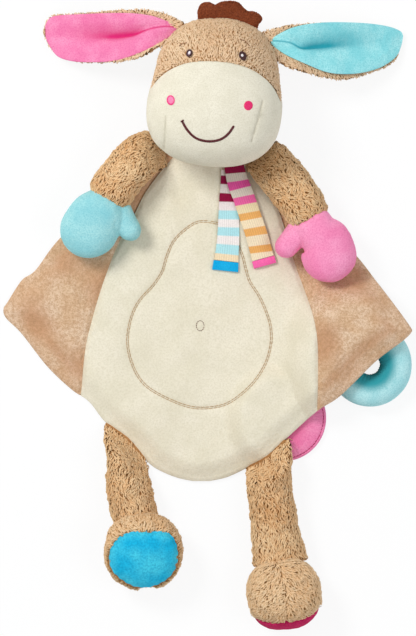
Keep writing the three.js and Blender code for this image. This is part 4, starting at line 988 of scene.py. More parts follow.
mouth_shares = [(-0.278, -0.318), (-0.249, -0.368), (-0.205, -0.418), (-0.160, -0.448), (-0.110, -0.463),
                (-0.052, -0.468), (0.008, -0.459), (0.054, -0.438), (0.092, -0.406), (0.119, -0.370), (0.134, -0.348)]
mouth_count = 90
mouth_plan = even_path(smooth_path([on_head(x, y) for x, y in mouth_shares]), mouth_count)
mouth_side = beside(mouth_plan, 1.0) - mouth_plan
mouth_rings = []
for k, t in enumerate(np.linspace(0, 1, mouth_count)):
    end = min(1, 40 * t, 40 * (1 - t)) ** 0.5
    fat = 0.78 * end + 0.06
    ring = []
    for turn in np.arange(12) * math.pi / 6:
        x, y = mouth_plan[k] + mouth_side[k] * fat * math.cos(turn) * (1 + 0.05 * (k % 2))
        ring.append(face_point(x, y, 0.05 + 0.58 * end * max(math.sin(turn), -0.6)))
    mouth_rings.append(ring)
mouth = sewn_piece("mouth_bow", *closed_rings(np.array(mouth_rings)), maroon_thread)
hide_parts("mouth_line")
face_pieces.append((mouth, "maroon_thread"))
corner_row = smooth_path(mouth_plan[0] + [(-1.2, -0.3), (0.0, 0.35), (1.2, 1.3)], 6)
corner_row = face_point(*corner_row.T, 0.35)
corner_stitch = sewn_piece("mouth_corner", *stitches(corner_row, 2.8, 0.1, 0.62), maroon_thread)
face_pieces.append((corner_stitch, "maroon_thread"))

# Two short brown brow stitches lie half buried in the pile.
brow_thread = thread("brow thread", "#A26C42", "#7E4C2A")
for side, ends in (("left", [(-0.306, 0.266), (-0.280, 0.285), (-0.244, 0.292)]),
                   ("right", [(0.183, 0.316), (0.222, 0.304), (0.260, 0.264)])):
    row = smooth_path([on_head(x, y) for x, y in ends], 8)
    brow = sewn_piece("brow_" + side, *stitches(face_point(*row.T, 0.15), 1.6, 0.1, 0.30), brow_thread)
    face_pieces.append((brow, "dark_thread"))
for piece, slot_name in face_pieces:
    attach(piece, "head")

# The mane is a scalloped crest of cropped brown fleece, two layers sewn edge to edge and
# caught in the seam across the crown.
mane_shares = [(-0.140, 0.44), (-0.150, 0.50), (-0.150, 0.553), (-0.132, 0.592), (-0.100, 0.608), (-0.064, 0.609),
               (-0.019, 0.590), (0.015, 0.606), (0.060, 0.617), (0.111, 0.619), (0.150, 0.614), (0.180, 0.598),
               (0.210, 0.566), (0.245, 0.541), (0.280, 0.540), (0.315, 0.530), (0.345, 0.508), (0.357, 0.48),
               (0.330, 0.45), (0.29, 0.40), (0.10, 0.42)]
mane_edge = even_path(smooth_path([on_head(x, y) for x, y in mane_shares + mane_shares[:1]], 10), 241)[:-1]
mane_middle = on_head(0.10, 0.49)
mane_up, mane_half_thick = head_middle[2], 3.6
mane_rings = []
for size, rise in ((0.02, 1), (0.3, 1), (0.55, 0.99), (0.75, 0.95), (0.88, 0.84), (0.95, 0.66), (0.985, 0.40), (1, 0)):
    plan = mane_middle + (mane_edge - mane_middle) * size
    mane_rings.append(raised(plan, mane_up + (mane_half_thick + 0.35 * waves(plan, 3.0, 91)) * rise))
mane_rings += [ring * (1, 1, -1) + (0, 0, 2 * mane_up) for ring in mane_rings[-2::-1]]
fleece_backing = velour("brown fleece backing", "#8A4A30", "#7A3A22", "#5A2413", nap=0.8, bump=0.3)
fleece_pile = long_pile("brown fleece pile", "#9C5536", "#824026", "#522012", sheen=0.12)
mane_points, mane_faces = closed_rings(np.array(mane_rings))
mane_crest = sewn_piece("mane_crest", mane_points, mane_faces, fleece_backing)


def mane_flow(points):
    """The fleece stands out from below the middle of the crest."""
    return points - (mane_middle[0], mane_middle[1] - 14, mane_up)


mane_fuzz = tufted("mane_fuzz", mane_points, mane_faces, fleece_pile, mane_flow, each=0.32, long=1.2, wide=0.6,
                   stand=0.55, curl=1.3, swirl=2.0, seed=8, keep=lambda p: (head_field(p) > 0.98).astype(float))
for piece in (mane_crest, mane_fuzz):
    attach(piece, "head")
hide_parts("mane")

# Each ear is a long leaf of tan long plush lined with puffy short velour, pink in one and
# turquoise in the other. The lining is folded at the root, where its lower half rolls over.
ear_long, root_up, ear_tip_up, lining_thick = 92.0, 41.0, 4.4, 1.3
ear_left_shares = [
    (0.2, 0.03, 0.04, -0.15), (0.092, 0.1, -0.092, -0.1), (-0.015, 0.154, -0.169, -0.146),
    (-0.131, 0.188, -0.269, -0.192), (-0.338, 0.198, -0.431, -0.215), (-0.604, 0.181, -0.631, -0.212),
    (-0.8, 0.173, -0.8, -0.185), (-0.923, 0.162, -0.908, -0.115), (-0.985, 0.092, -0.977, -0.008)]
ear_right_shares = [
    (-0.075, 0.1, 0.01, -0.14), (-0.053, 0.117, 0.053, -0.117), (0.06, 0.151, 0.135, -0.162),
    (0.188, 0.173, 0.241, -0.192), (0.399, 0.187, 0.399, -0.233), (0.587, 0.184, 0.565, -0.245),
    (0.775, 0.177, 0.745, -0.192), (0.911, 0.154, 0.911, -0.117), (0.978, 0.117, 0.978, -0.011)]
pink_upper = [(-20.3, 202.0), (-24.0, 205.2), (-30.5, 207.9), (-39.2, 210.7), (-53.0, 212.6), (-69, 213.1),
              (-89, 212.8), (-105, 212.3), (-111.0, 210.4), (-114.0, 205.7), (-114.2, 201.4)]
pink_lower = [(-20.3, 202.0), (-22.3, 198.6), (-30.3, 193.3), (-41.5, 187.4), (-55, 182.0), (-67.4, 179.2),
              (-81, 178.8), (-94.7, 179.8), (-105, 183.3), (-110.4, 190.0), (-113.5, 196.2), (-114.2, 201.4)]
aqua_upper = [(43.9, 193.7), (50.1, 198.0), (62.1, 203.2), (79.4, 206.2), (100, 206.9), (117.3, 206.2), (129.3, 204.3),
              (136.3, 201.4), (138.0, 198.0)]
aqua_lower = [(43.9, 193.7), (46.0, 189.6), (55.1, 183.3), (69.1, 177.0), (82.8, 171.8), (94.9, 170.4), (108.7, 171.6),
              (122.3, 175.9), (132.8, 183.3), (136.6, 191.1), (138.0, 198.0)]
pink_crease = [(-20.0, 202.6), (-30.0, 203.2), (-41.5, 201.2), (-52, 197.3), (-64, 196.2), (-80, 197.0), (-106, 199.6)]
aqua_crease = [(43.0, 193.4), (52.0, 192.9), (59.0, 191.6), (66.0, 188.2), (76.0, 188.6), (98, 191.5), (128, 195.5)]


def ear_height(out):
    """The ear hangs down from the head and lands on its tip."""
    return root_up + (ear_tip_up - root_up) * out + 4.0 * np.sin(math.pi * out) * (1 - out)


def ear_cup(out):
    """How much the sides of the ear curl up."""
    return 4.5 * ease(out * 4) * (1 - ease(out * 1.4 - 0.7))


def how_far_out(points, root):
    """The share of the ear's length at which a point is."""
    return np.clip(np.linalg.norm(points[..., :2] - root, axis=-1) / ear_long, 0, 1)


leaf_count = 110


def within(points, outline):
    """Whether plan points lie inside a closed outline."""
    x, y = points[..., 0], points[..., 1]
    inside = np.zeros(x.shape, bool)
    for (ax, ay), (bx, by) in zip(outline, np.roll(outline, -1, axis=0)):
        cut = (ay > y) != (by > y)
        inside ^= cut & (x < (bx - ax) * (y - ay) / (by - ay + 1e-12) + ax)
    return inside


# The last colour of each lining is painted shade down in its crease.
pink_lining = lining_look("pink ear lining", "#F29ABF", "#EA82AE", "#DC6096", "#D21C6C")
aqua_lining = lining_look("turquoise ear lining", "#ABE9EC", "#90DCE2", "#68C4CC", "#1796A6")

# The rim is how far the plush shows past the lining above it, below it and at the tip.
for side, outward, root_share, shares, upper, lower, crease, lining_cloth, lining_slot, seed, rim in (
        ("left", -1.0, (-0.381, 0.361), ear_left_shares, pink_upper, pink_lower, pink_crease, pink_lining,
         "pink_velour", 11, (1.7, 0.2, -0.8)),
        ("right", 1.0, (0.429, 0.277), ear_right_shares, aqua_upper, aqua_lower, aqua_crease, aqua_lining,
         "aqua_velour", 12, (0.3, 1.0, 2.6))):
    root = on_head(*root_share)
    upper = even_path(smooth_path(upper), 150)
    lower = even_path(smooth_path(lower), 150)
    crease = smooth_path(crease)
    lining_outline = np.vstack([upper, lower[::-1]])
    leaf = even_path(smooth_path(shares, 16), leaf_count) * ear_long
    leaf_upper, leaf_lower = root + leaf[:, :2], root + leaf[:, 2:]
    leaf_half = np.linalg.norm(leaf_upper - leaf_lower, axis=1) / 2
    leaf_middle = (leaf_upper + leaf_lower) / 2
    columns = np.sin(np.linspace(-1, 1, 49) * math.pi / 2)
    edge_in = 1.9 - np.where(columns > 0, rim[0], rim[1])
    round_tip = np.sqrt(np.clip(np.linspace(1, 0, leaf_count) / 0.05, 0.05, 1))[:, None]
    narrowed = np.maximum(0.05, 1 - edge_in / leaf_half[:, None]) * round_tip
    plan = leaf_middle[:, None] + (leaf_upper - leaf_middle)[:, None] * (columns * narrowed)[..., None]
    plan = plan + (plan - root) * (rim[2] - 1.1) / ear_long
    rise = ear_height(how_far_out(leaf_middle, root))[:, None] + ear_cup(how_far_out(plan, root)) * columns ** 2
    rounded = np.sqrt(np.clip(1 - np.abs(columns) ** 5, 0, 1))
    low = np.maximum(rise - 4.3 - 1.0 * rounded + 0.2 * waves(plan, 3, 102), 0.4)
    top = rise - 4.2 + 0.9 * rounded + 0.2 * waves(plan, 3, 101)
    back_points, back_faces = closed_cloth(raised(plan, top), raised(plan, low))
    ear_back = sewn_piece("ear_back_" + side, back_points, back_faces, tan_backing)

    def ear_flow(points):
        """The pile lies outwards over the edge and towards the tip."""
        spine = leaf_middle[np.argmin(((points[:, None, :2] - leaf_middle[None, ::6]) ** 2).sum(-1), axis=1) * 6]
        out = np.column_stack([(points[:, :2] - spine) * 0.09 + (spine - root) * 0.009, np.zeros(len(points))])
        return out + 0.8 * np.stack([waves(points, 12, 103), waves(points, 12, 104), np.zeros(len(points))], -1)

    def shown_fur(places):
        """Pile where neither the head nor the lining covers the cloth."""
        out = how_far_out(places, root)
        covered = within(places, lining_outline) & (away_from(places, lining_outline) > 1.2)
        covered &= places[:, 2] > ear_height(out) - 4.6
        return ((head_field(places) > 1.0) & ~covered).astype(float)

    ear_pile = tufted("ear_pile_" + side, back_points, back_faces, head_fur, ear_flow, each=1.0, long=2.9, wide=1.0,
                      stand=1.05, curl=0.6, swirl=5.0, seed=seed, keep=shown_fur, tuck=True)
    middle, half_way = (upper + lower) / 2, (upper - lower) / 2
    columns = np.sin(np.linspace(-1, 1, 75) * math.pi / 2)
    plan = middle[:, None] + half_way[:, None] * columns[None, :, None]
    out = how_far_out(middle, root)[:, None]
    edge_away = away_from(plan, np.vstack([lining_outline, lining_outline[:1]]))
    puff = 2.9 * np.sqrt(np.clip(edge_away / 7.0, 0, 1)) - 1.9
    crease_away = away_from(plan, crease)
    crease_y = np.interp(plan[..., 0] * np.sign(crease[-1, 0]), crease[:, 0] * np.sign(crease[-1, 0]), crease[:, 1])
    above = plan[..., 1] > crease_y
    run = 1 - ease((out - 0.28) / 0.62)
    near_root = 1 - ease((out - 0.30) / 0.25)
    spread = np.where(above, 3.6 + 3.0 * out, 0.7 + 4.5 * (1 - near_root))
    fold = run * (1.5 + 1.2 * ease((out - 0.12) / 0.2)) * near_to(crease_away, spread)
    height = ear_height(out) + ear_cup(out) * columns ** 2 + puff - fold
    lining_top = raised(plan, height + 0.3 * waves(plan, 11, 105) + 0.12 * waves(plan, 2.2, 106))
    # The lining is painted darker in its fold, as shade: most a third of the way out, and in a fine line from there to
    # the root.
    strong = near_to(out - 0.29, np.where(out < 0.29, 0.07, 0.21))
    faint = near_to(out - 0.45, np.where(out < 0.45, 0.18, 0.30))
    darkened = 0.85 * strong * near_to(crease_away, np.where(above, 3.2, 0.8 + 3.5 * np.clip(out - 0.33, 0, 1)))
    darkened = darkened + 0.55 * faint * near_to(crease_away, np.where(above, 9.5, 1.4 + 3.0 * out))
    darkened = darkened + 0.8 * (1 - ease((out - 0.25) / 0.1)) * near_to(crease_away, 0.6)
    depth = np.clip(darkened, 0, 1).ravel()
    lining_points, lining_faces = closed_cloth(lining_top, lining_top - (0, 0, lining_thick))
    lining = sewn_piece("ear_lining_" + side, lining_points, lining_faces, lining_cloth, tip=np.r_[depth, depth])
    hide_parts("ear_%s_back" % side)
    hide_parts("ear_%s_lining" % side)
    for piece, slot_name in ((ear_back, "tan_plush"), (ear_pile, "tan_plush"), (lining, lining_slot)):
        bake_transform(piece)

# The arms are stuffed tubes of tan long plush, sewn flat to the blanket at the shoulder. Each
# ends in a velour mitten with a thumb, turquoise on one and pink on the other, stuffed with it.
arm_half_wide, arm_half_high, shoulder_half_high = 15.0, 12.5, 2.2
mitten_long, mitten_half_high, thumb_radius = 46.5, 13.0, 7.8
limb_up = 0.3
arm_swell = (0.88, 0.96, 1.02, 1.05, 1.05, 1.03, 1.0)
arm_height = (0, 0.42, 0.75, 0.95, 1.0, 1.0, 0.98)
arms = {
    "left": dict(root=(-0.12, -0.029), long=51.3, hand="aqua", seed=21, thumb_turn=-1,
                 path=[(0, 0), (-0.15, -0.02), (-0.3, -0.082), (-0.437, -0.205), (-0.559, -0.355), (-0.669, -0.519),
                       (-0.75, -0.662)],
                 mitten=[(-0.122, -0.206), (-0.26, -0.42), (-0.367, -0.619), (-0.443, -0.772), (-0.481, -0.85)],
                 thumb=[(0.14, -0.19), (0.39, -0.555)], fat=(18.9, 20.3, 20.3, 20.3, 20.3)),
    "right": dict(root=(0.112, -0.035), long=58.0, hand="pink", seed=22, thumb_turn=1,
                  path=[(0, 0), (0.084, -0.078), (0.169, -0.157), (0.278, -0.278), (0.398, -0.434), (0.535, -0.625),
                        (0.612, -0.80)],
                  mitten=[(0.120, -0.183), (0.255, -0.350), (0.300, -0.530), (0.303, -0.74), (0.300, -0.965)],
                  thumb=[(-0.09, -0.16), (-0.41, -0.50)], fat=(14.6, 17.6, 19.2, 19.6, 19.6))}


def squarish(turns, power):
    """The cosines and sines of a round outline that is a little squarer than an ellipse."""
    c, s = np.cos(turns), np.sin(turns)
    swollen = (np.abs(c) ** power + np.abs(s) ** power) ** (-1 / power)
    return c * swollen, s * swollen


def tube_rings(centres, half_wide, half_high, around=72):
    """Rings of a stuffed tube whose spine runs level: squarish ellipses square to the spine."""
    along = unit(np.gradient(centres, axis=0) * (1, 1, 0))
    side = np.stack([-along[:, 1], along[:, 0], np.zeros(len(along))], -1)
    c, s = squarish(round_turns(around), 2.2)
    return (centres[:, None] + side[:, None] * (half_wide[:, None] * c)[..., None]
            + np.array([0, 0, 1.0]) * (half_high[:, None] * s)[..., None])


def fattened(rings, centres, more):
    """Rings of a tube, each point moved out from its spine."""
    return rings + unit(rings - centres[:, None], 1e-6) * more[..., None]


def stuffed_tube(stations, count, inset=0.0, end_round=0.0):
    """The spine, half widths and half heights of a tube through stations of x, y, z and both halves."""
    dense = even_path(smooth_path(stations, 14), count)
    wide, high = dense[:, 3] - inset, dense[:, 4] - inset
    if end_round:
        run = run_along(dense[:, :3])
        left = np.clip((run[-1] - run) / end_round, 0, 1)
        cap = np.sqrt(np.clip(1 - (1 - left) ** 2, 0.0025, 1))
        wide, high = wide * cap, high * cap
    return dense[:, :3], wide, high


def arm_stations(arm):
    """An arm's stations: flat at the shoulder, where it is sewn down, and then on top of the blanket."""
    plan = on_blanket(arm["root"]) + np.array(arm["path"]) * arm["long"]
    half_high = shoulder_half_high + (arm_half_high - shoulder_half_high) * np.array(arm_height)
    rest = np.full(len(plan), limb_up + pad_thick)
    rest[0] = limb_up + hem_thick + 1.0
    return np.column_stack([plan, rest + half_high, arm_half_wide * np.array(arm_swell), half_high])


def lumps_of_stuffing(points, lumps, seed):
    """Stuffing shows as slow lumps along a limb."""
    return lumps * waves(points, 13, seed) + 0.5 * lumps * waves(points, 6, seed + 1)


def down_limb(points, centres, every):
    """The direction down a limb beside each point, from every few points of its spine."""
    nearest = np.argmin(((points[:, None] - centres[None, ::every]) ** 2).sum(-1), axis=1) * every
    return unit(np.gradient(centres, axis=0)[nearest])


mitten_looks = {
    "aqua": velour("turquoise mitten velour", "#A6DADC", "#8ECDD4", "#64B2BE", nap=1.0, bump=0.2, sheen=0.5),
    "pink": velour("pink mitten velour", "#F8A2C6", "#F28CB6", "#DA6598", nap=1.0, bump=0.2, sheen=0.5)}
for side, arm in arms.items():
    stations = arm_stations(arm)
    centres, wide, high = stuffed_tube(stations, 130, inset=pile_deep - 0.1)
    wide[-9:] *= np.linspace(1, 0.86, 9)
    high[-9:] *= np.linspace(1, 0.86, 9)
    rings = tube_rings(centres, wide, high)
    rings = fattened(rings, centres, 0.35 * waves(rings, 3.6, 201) + lumps_of_stuffing(rings, 0.5, 203))
    sleeve_points, sleeve_faces = closed_rings(rings)
    sleeve = sewn_piece("arm_sleeve_" + side, sleeve_points, sleeve_faces, tan_backing)

    def arm_flow(points):
        """The pile lies down the arm."""
        return down_limb(points, centres, 5) + 0.6 * wander(points, 9, 211)

    def open_arm(places):
        """Pile where the head doesn't cover the arm."""
        return ((head_field(places) > 0.97) & (places[:, 2] > 3.0)).astype(float)

    arm_pile = tufted("arm_pile_" + side, sleeve_points, sleeve_faces, tan_pile, arm_flow, each=1.2, long=3.9, wide=1.1,
                      stand=1.5, curl=0.6, swirl=4.5, seed=arm["seed"], keep=open_arm)
    arm["wrist"] = stations[-1]
    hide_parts("arm_%s_sleeve" % side, "arm_%s_filling" % side)
    for piece in (sleeve, arm_pile):
        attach(piece, "arm_" + side)


def grown_together(parts, cell, smooth):
    """Points and faces of one smooth skin over several closed forms."""
    points, faces = both(*parts)
    forms = sewn_piece("forms", points, faces, tan_backing)
    skin = forms.modifiers.new("skin", 'REMESH')
    skin.mode = 'VOXEL'
    skin.voxel_size = cell / 1000
    soft = forms.modifiers.new("soft", 'SMOOTH')
    soft.factor, soft.iterations = 0.5, smooth
    grown = forms.evaluated_get(bpy.context.evaluated_depsgraph_get()).to_mesh()
    coords = np.empty(len(grown.vertices) * 3)
    grown.vertices.foreach_get("co", coords)
    grown_faces = [tuple(p.vertices) for p in grown.polygons]
    mesh = forms.data
    bpy.data.objects.remove(forms)
    bpy.data.meshes.remove(mesh)
    return coords.reshape(-1, 3) * 1000, grown_faces


def hand_stations(arm, plan_shares, up, half_wide, half_high):
    """Stations in shares of the mitten's length off the wrist."""
    plan = arm["wrist"][:2] + np.array(plan_shares) * mitten_long
    return np.column_stack([plan, np.full(len(plan), up), half_wide, np.full(len(plan), half_high)])


hand_count = 110
for side, arm in arms.items():
    mitten_up = pad_thick + limb_up + mitten_half_high
    rows = np.vstack([arm["wrist"], hand_stations(arm, arm["mitten"], mitten_up, arm["fat"], mitten_half_high)])
    centres, wide, high = stuffed_tube(rows, hand_count, end_round=20.0)
    down_hand = np.linspace(0, 46, hand_count)
    pinched = 1 - 0.16 * np.exp(-down_hand / 3.0)
    body = tube_rings(centres, wide * pinched, high ** 0.85 * mitten_half_high ** 0.15 * pinched)
    body = fattened(body, centres, 0.45 * np.sin(13 * round_turns(72)) * np.exp(-down_hand / 3.5)[:, None])
    thumb_up = pad_thick + limb_up + thumb_radius * 1.5
    base, pad = hand_stations(arm, arm["thumb"], thumb_up, [thumb_radius * 1.02] * 2, thumb_radius)
    way = unit((pad - base)[:3])
    thumb_rows = np.array([base, (base + pad) / 2, pad, pad + np.r_[way * thumb_radius * 0.42, 0, 0]])
    thumb_rows[:, 3] *= (1.32, 1.10, 0.92, 0.90)
    thumb_centres, thumb_wide, thumb_high = stuffed_tube(thumb_rows, 50, end_round=7.5)
    thumb = tube_rings(thumb_centres, thumb_wide, thumb_high, 40)
    points, faces = grown_together([closed_rings(body), closed_rings(thumb)], 0.75, 5)
    _, _, normals = surface_facts(points, faces)
    # A crease runs into the hand from the fork of the thumb.
    way, aside = way[:2], np.array([-way[1], way[0]]) * arm["thumb_turn"]
    fork = base[:2] * 0.42 + pad[:2] * 0.58 + aside * thumb_radius * 1.05
    crease = smooth_path([fork, fork - way * 3.0 - aside * 1.0, fork - way * 5.5 - aside * 2.4])
    dent = 0.45 * near_to(away_from(points, crease), 1.3) * ease((points[:, 2] - mitten_up + 2) / 4)
    more = 0.28 * waves(points, 9, 221) + 0.10 * waves(points, 2.4, 222) - dent
    points = points + normals * more[:, None]
    mitten = sewn_piece("mitten_velour_" + side, points, faces, mitten_looks[arm["hand"]])
    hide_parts("mitten_" + side)
    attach(mitten, "arm_" + side)

# The legs are loosely stuffed tubes of the same plush, sewn flat into the blanket's edge. Each
# ends in a round plush foot with a velour sole, blue on one, which faces up, raspberry on the other.
leg_half_wide, leg_half_high = 15.3, 12.8
foot_up, foot_power = 20.5, 2.25
sole_lower, sole_halves = 4.6, (24.0, 14.9)
legs = {
    "left": dict(root=(-0.21, -0.863), long=66.5, lift=0.0, foot=(0.184, -1.221), facing=(0.03, -0.24, 0.97),
                 halves=(27.5, 27.0, 20.5), sole="blue", seeds=(31, 33),
                 path=[(0, 0.24), (0, 0), (0.005, -0.105), (0.011, -0.211), (0.016, -0.316), (0.021, -0.442),
                       (0.037, -0.621), (0.084, -0.811), (0.137, -0.989)],
                 swell=(1, 1, 0.98, 0.95, 0.96, 0.99, 1.04, 1.05, 1)),
    "right": dict(root=(0.139, -0.875), long=85.7, lift=9.3, foot=(0.123, -1.258), facing=(0.12, -0.95, 0.25),
                  halves=(26.2, 20.5, 25.5), sole="berry", seeds=(32, 34),
                  path=[(-0.01, 0.2), (-0.01, 0), (-0.009, -0.09), (-0.007, -0.18), (-0.005, -0.278), (0.006, -0.392),
                        (0.027, -0.572), (0.058, -0.776), (0.088, -0.996)],
                  swell=(1.12, 1.12, 1.10, 1.07, 1.04, 1.02, 1.04, 1.14, 1.26))}
blue_sole_edge = np.array([
    (-64.6, -157.0), (-60.4, -152.7), (-49.2, -149.6), (-38.3, -149.6), (-27.1, -150.8), (-22.1, -157.0),
    (-20.2, -165.0), (-20.8, -173.9), (-25.8, -181.8), (-38.3, -189.5), (-48.5, -190.2), (-58.3, -185.8),
    (-66.7, -178.3), (-69.3, -171.3), (-68.3, -163.9)])
blue_sole_edge = smooth_path(np.vstack([blue_sole_edge, blue_sole_edge[:1]]), 8)[:-1]
sole_looks = {"blue": velour("blue sole velour", "#48D0EA", "#1AB6E0", "#057FB0", nap=1.3, bump=0.35, sheen=0.5),
              "berry": velour("raspberry sole velour", "#C42A5E", "#AE1C4C", "#861238", nap=1.3, bump=0.35, sheen=0.3)}
foot_fur_look = long_pile("foot long pile", "#F6DBB4", "#E6B888", "#B4844E")
ankle_seam = smooth_path([(30.9, -168.6), (38.0, -170.6), (46.0, -171.3), (54.2, -169.9), (65.6, -164.3)])
foot_seam = smooth_path([(47.9, -172.7), (52.0, -183.0), (55.1, -193.7), (56.5, -213.3)])
hem_middle_up = hem_thick / 2


def flat_at_hip(points):
    """A leg flattened to its seam, where that is sewn in between the blanket's cloths."""
    seam_high = under_blanket(points) + hem_middle_up
    outside = np.where(within(points, whole_hem[:-1]), 0.0, away_from(points, whole_hem))
    full = 0.05 + 0.95 * ease(outside / 17.0)
    return raised(points[..., :2], seam_high + (points[..., 2] - seam_high) * full)


def foot_frame(facing):
    """A foot's own directions: across its sole, up its sole, and out of it."""
    facing = unit(np.array(facing))
    side = np.cross((0, 0, 1.0), facing)
    if np.linalg.norm(side) < 0.5:
        side = np.array([1.0, 0, 0])
    side = unit(side - facing * (side @ facing))
    return np.stack([side, np.cross(facing, side), facing])


for side, leg in legs.items():
    root, shares = on_blanket(leg["root"]), np.array(leg["path"])
    up = leg_half_high + leg["lift"] * (1 - ease(-shares[:, 1] / 0.45))
    stations = np.column_stack([root + shares * leg["long"], up, leg_half_wide * np.array(leg["swell"]),
                                np.full(len(shares), leg_half_high)])
    centres, wide, high = stuffed_tube(stations, 150, inset=pile_deep)
    rings = tube_rings(centres, wide, high, 84)
    rings = fattened(rings, centres, 0.5 * waves(rings, 4.2, 231) + lumps_of_stuffing(rings, 0.55, 233))
    rings = flat_at_hip(rings)
    rings[..., 2] = np.maximum(rings[..., 2], 0.5)
    # The part of the leg that would be well inside the hem is left off.
    outside_root = ~within(rings.mean(1), whole_hem[:-1]) | (away_from(rings.mean(1), whole_hem) < 9.0)
    leg_points, leg_faces = closed_rings(rings[np.argmax(outside_root):])
    leg_tube = sewn_piece("leg_tube_" + side, leg_points, leg_faces, tan_backing)
    axes = foot_frame(leg["facing"])
    middle = np.array([*(root + np.array(leg["foot"]) * leg["long"]), foot_up])
    turns = round_turns(180)

    def foot_skin(tilt):
        """The foot's surface at tilts away from the middle of its sole; it is flat where it rests."""
        tilt, turn = np.broadcast_arrays(tilt, turns)
        ways = np.stack([np.sin(tilt) * np.cos(turn), np.sin(tilt) * np.sin(turn), np.cos(tilt)], -1)
        reach = (np.abs(ways / leg["halves"]) ** foot_power).sum(-1) ** (-1 / foot_power)
        points = middle + (ways @ axes) * reach[..., None]
        points[..., 2] = np.maximum(points[..., 2], 0.15)
        return points

    def on_sole(places, least=1.0):
        """Whether places are straight in front of the sole."""
        if side == "left":
            return within(places, blue_sole_edge)
        local = ((places - middle) @ axes.T)[..., :2]
        return np.linalg.norm((local + (0, sole_lower)) / sole_halves, axis=-1) < least

    sole_tilt = evened(furthest(lambda tried: on_sole(foot_skin(tried)), len(turns), 1.6, 20), 4)
    sole_seam = foot_skin(sole_tilt)
    cover = foot_skin(np.maximum(sole_tilt + (math.pi - 0.03 - sole_tilt) * np.linspace(0, 1, 96)[:, None], 0.01))
    inner = foot_skin(np.maximum(sole_tilt * np.linspace(0.02, 0.98, 14)[:, None], 0.01))
    seam_near = near_to(np.linalg.norm(cover - sole_seam[None], axis=-1), 2.2)
    lumps = 0.35 * waves(cover, 3.4, 241) + 0.4 * waves(cover, 10, 243)
    base = cover - normals_of(cover) * (pile_deep - lumps + 0.4 * seam_near)[..., None]
    inner = inner + (middle - inner) * 0.12
    if side == "right":
        seams = 0.55 * near_to(away_from(base, foot_seam), 2.2) + 1.6 * near_to(away_from(base, ankle_seam), 2.0)
        base[..., 2] -= seams * ease((base[..., 2] - middle[2]) / 5)
    base[..., 2] = np.maximum(base[..., 2], 0.5)
    foot_points, foot_faces = closed_rings(np.concatenate([inner, base]))
    foot = sewn_piece("foot_cover_" + side, foot_points, foot_faces, tan_backing)

    def leg_flow(points):
        """The pile lies down the leg."""
        return down_limb(points, centres, 6) + 0.5 * wander(points, 9, 251)

    def foot_flow(points):
        """The pile lies away from the left foot's sole, and from the seam along the right foot."""
        if side == "left":
            parted = np.broadcast_to(-9.0 * axes[2], points.shape)
        else:
            aside = points[:, :1] - np.interp(-points[:, 1], -foot_seam[:, 1], foot_seam[:, 0])[:, None]
            parted = np.concatenate([8.0 * np.tanh(aside / 4.0), np.full((len(points), 1), -7.0), 0 * aside], 1)
        return parted * 0.12 + 0.4 * wander(points, 8, 254)

    def outside_foot(places):
        """Pile where neither the foot nor the hem covers the leg."""
        local = np.abs(((places - middle) @ axes.T) / (np.array(leg["halves"]) - 0.6)) ** foot_power
        outside_hem = ~within(places, whole_hem[:-1]) & (away_from(places, whole_hem) > 0.7)
        return ((local.sum(-1) > 0.92) & (places[:, 2] > 1.2) & outside_hem).astype(float)

    def foot_fur(places):
        """Pile on the foot, but not on its sole, in its seams or where the leg is sewn on."""
        on_tube = np.min(np.linalg.norm(places[:, None, :2] - centres[None, ::6, :2], axis=-1), axis=1) < 8.5
        leg_end = on_tube & (places[:, 1] > centres[-1, 1] + 3) & (places[:, 2] < 23)
        sole_away = np.min(np.linalg.norm(places[:, None] - sole_seam[None, ::3], axis=-1), axis=1)
        seam_gap = (away_from(places, foot_seam) < 0.25) | (away_from(places, ankle_seam) < 0.8)
        seam_gap &= (places[:, 2] > middle[2]) & (side == "right")
        in_sole = on_sole(places, 0.93) & ((places - middle) @ axes[2] > 0)
        return ((places[:, 2] > 1.0) & ~leg_end & ~seam_gap & ~(in_sole & (sole_away > 0.8))).astype(float)

    leg_pile = tufted("leg_pile_" + side, leg_points, leg_faces, tan_pile, leg_flow, each=1.2, long=3.9, wide=1.05,
                      stand=1.5, curl=0.5, swirl=4.5, seed=leg["seeds"][0], keep=outside_foot)
    foot_pile = tufted("foot_pile_" + side, foot_points, foot_faces, foot_fur_look, foot_flow, each=1.15, long=3.8,
                       wide=1.0, stand=1.35, curl=0.4, swirl=5.0, seed=leg["seeds"][1], keep=foot_fur)
    pad = foot_skin(np.maximum((sole_tilt + 0.035) * (np.linspace(0, 1, 70) ** 0.85)[:, None], 0.004))
    pad_out = normals_of(pad)
    rim_away = np.linalg.norm(pad - sole_seam[None], axis=-1)
    ripples = 0.25 * near_to(rim_away, 5) * np.sin(26 * turns)
    sink = 1.3 * near_to(rim_away, 1.9) + 0.5 * near_to(rim_away, 5) - 0.3
    sink = (sink - 0.35 * waves(pad, 12, 261) - 0.12 * waves(pad, 2.6, 262) - ripples)[..., None]
    sole_rings = np.concatenate([pad - pad_out * sink, (pad - pad_out * (sink + cloth_thick))[::-1]])
    sole = sewn_piece("sole_pad_" + side, *closed_rings(sole_rings), sole_looks[leg["sole"]])
    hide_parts("leg_%s_cover" % side, "leg_%s_filling" % side)
    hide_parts("foot_%s_cover" % side)
    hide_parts("sole_" + side)
    for piece in (leg_tube, leg_pile):
        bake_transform(piece)
    for piece in (foot, foot_pile, sole):
        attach(piece, "leg_" + side)

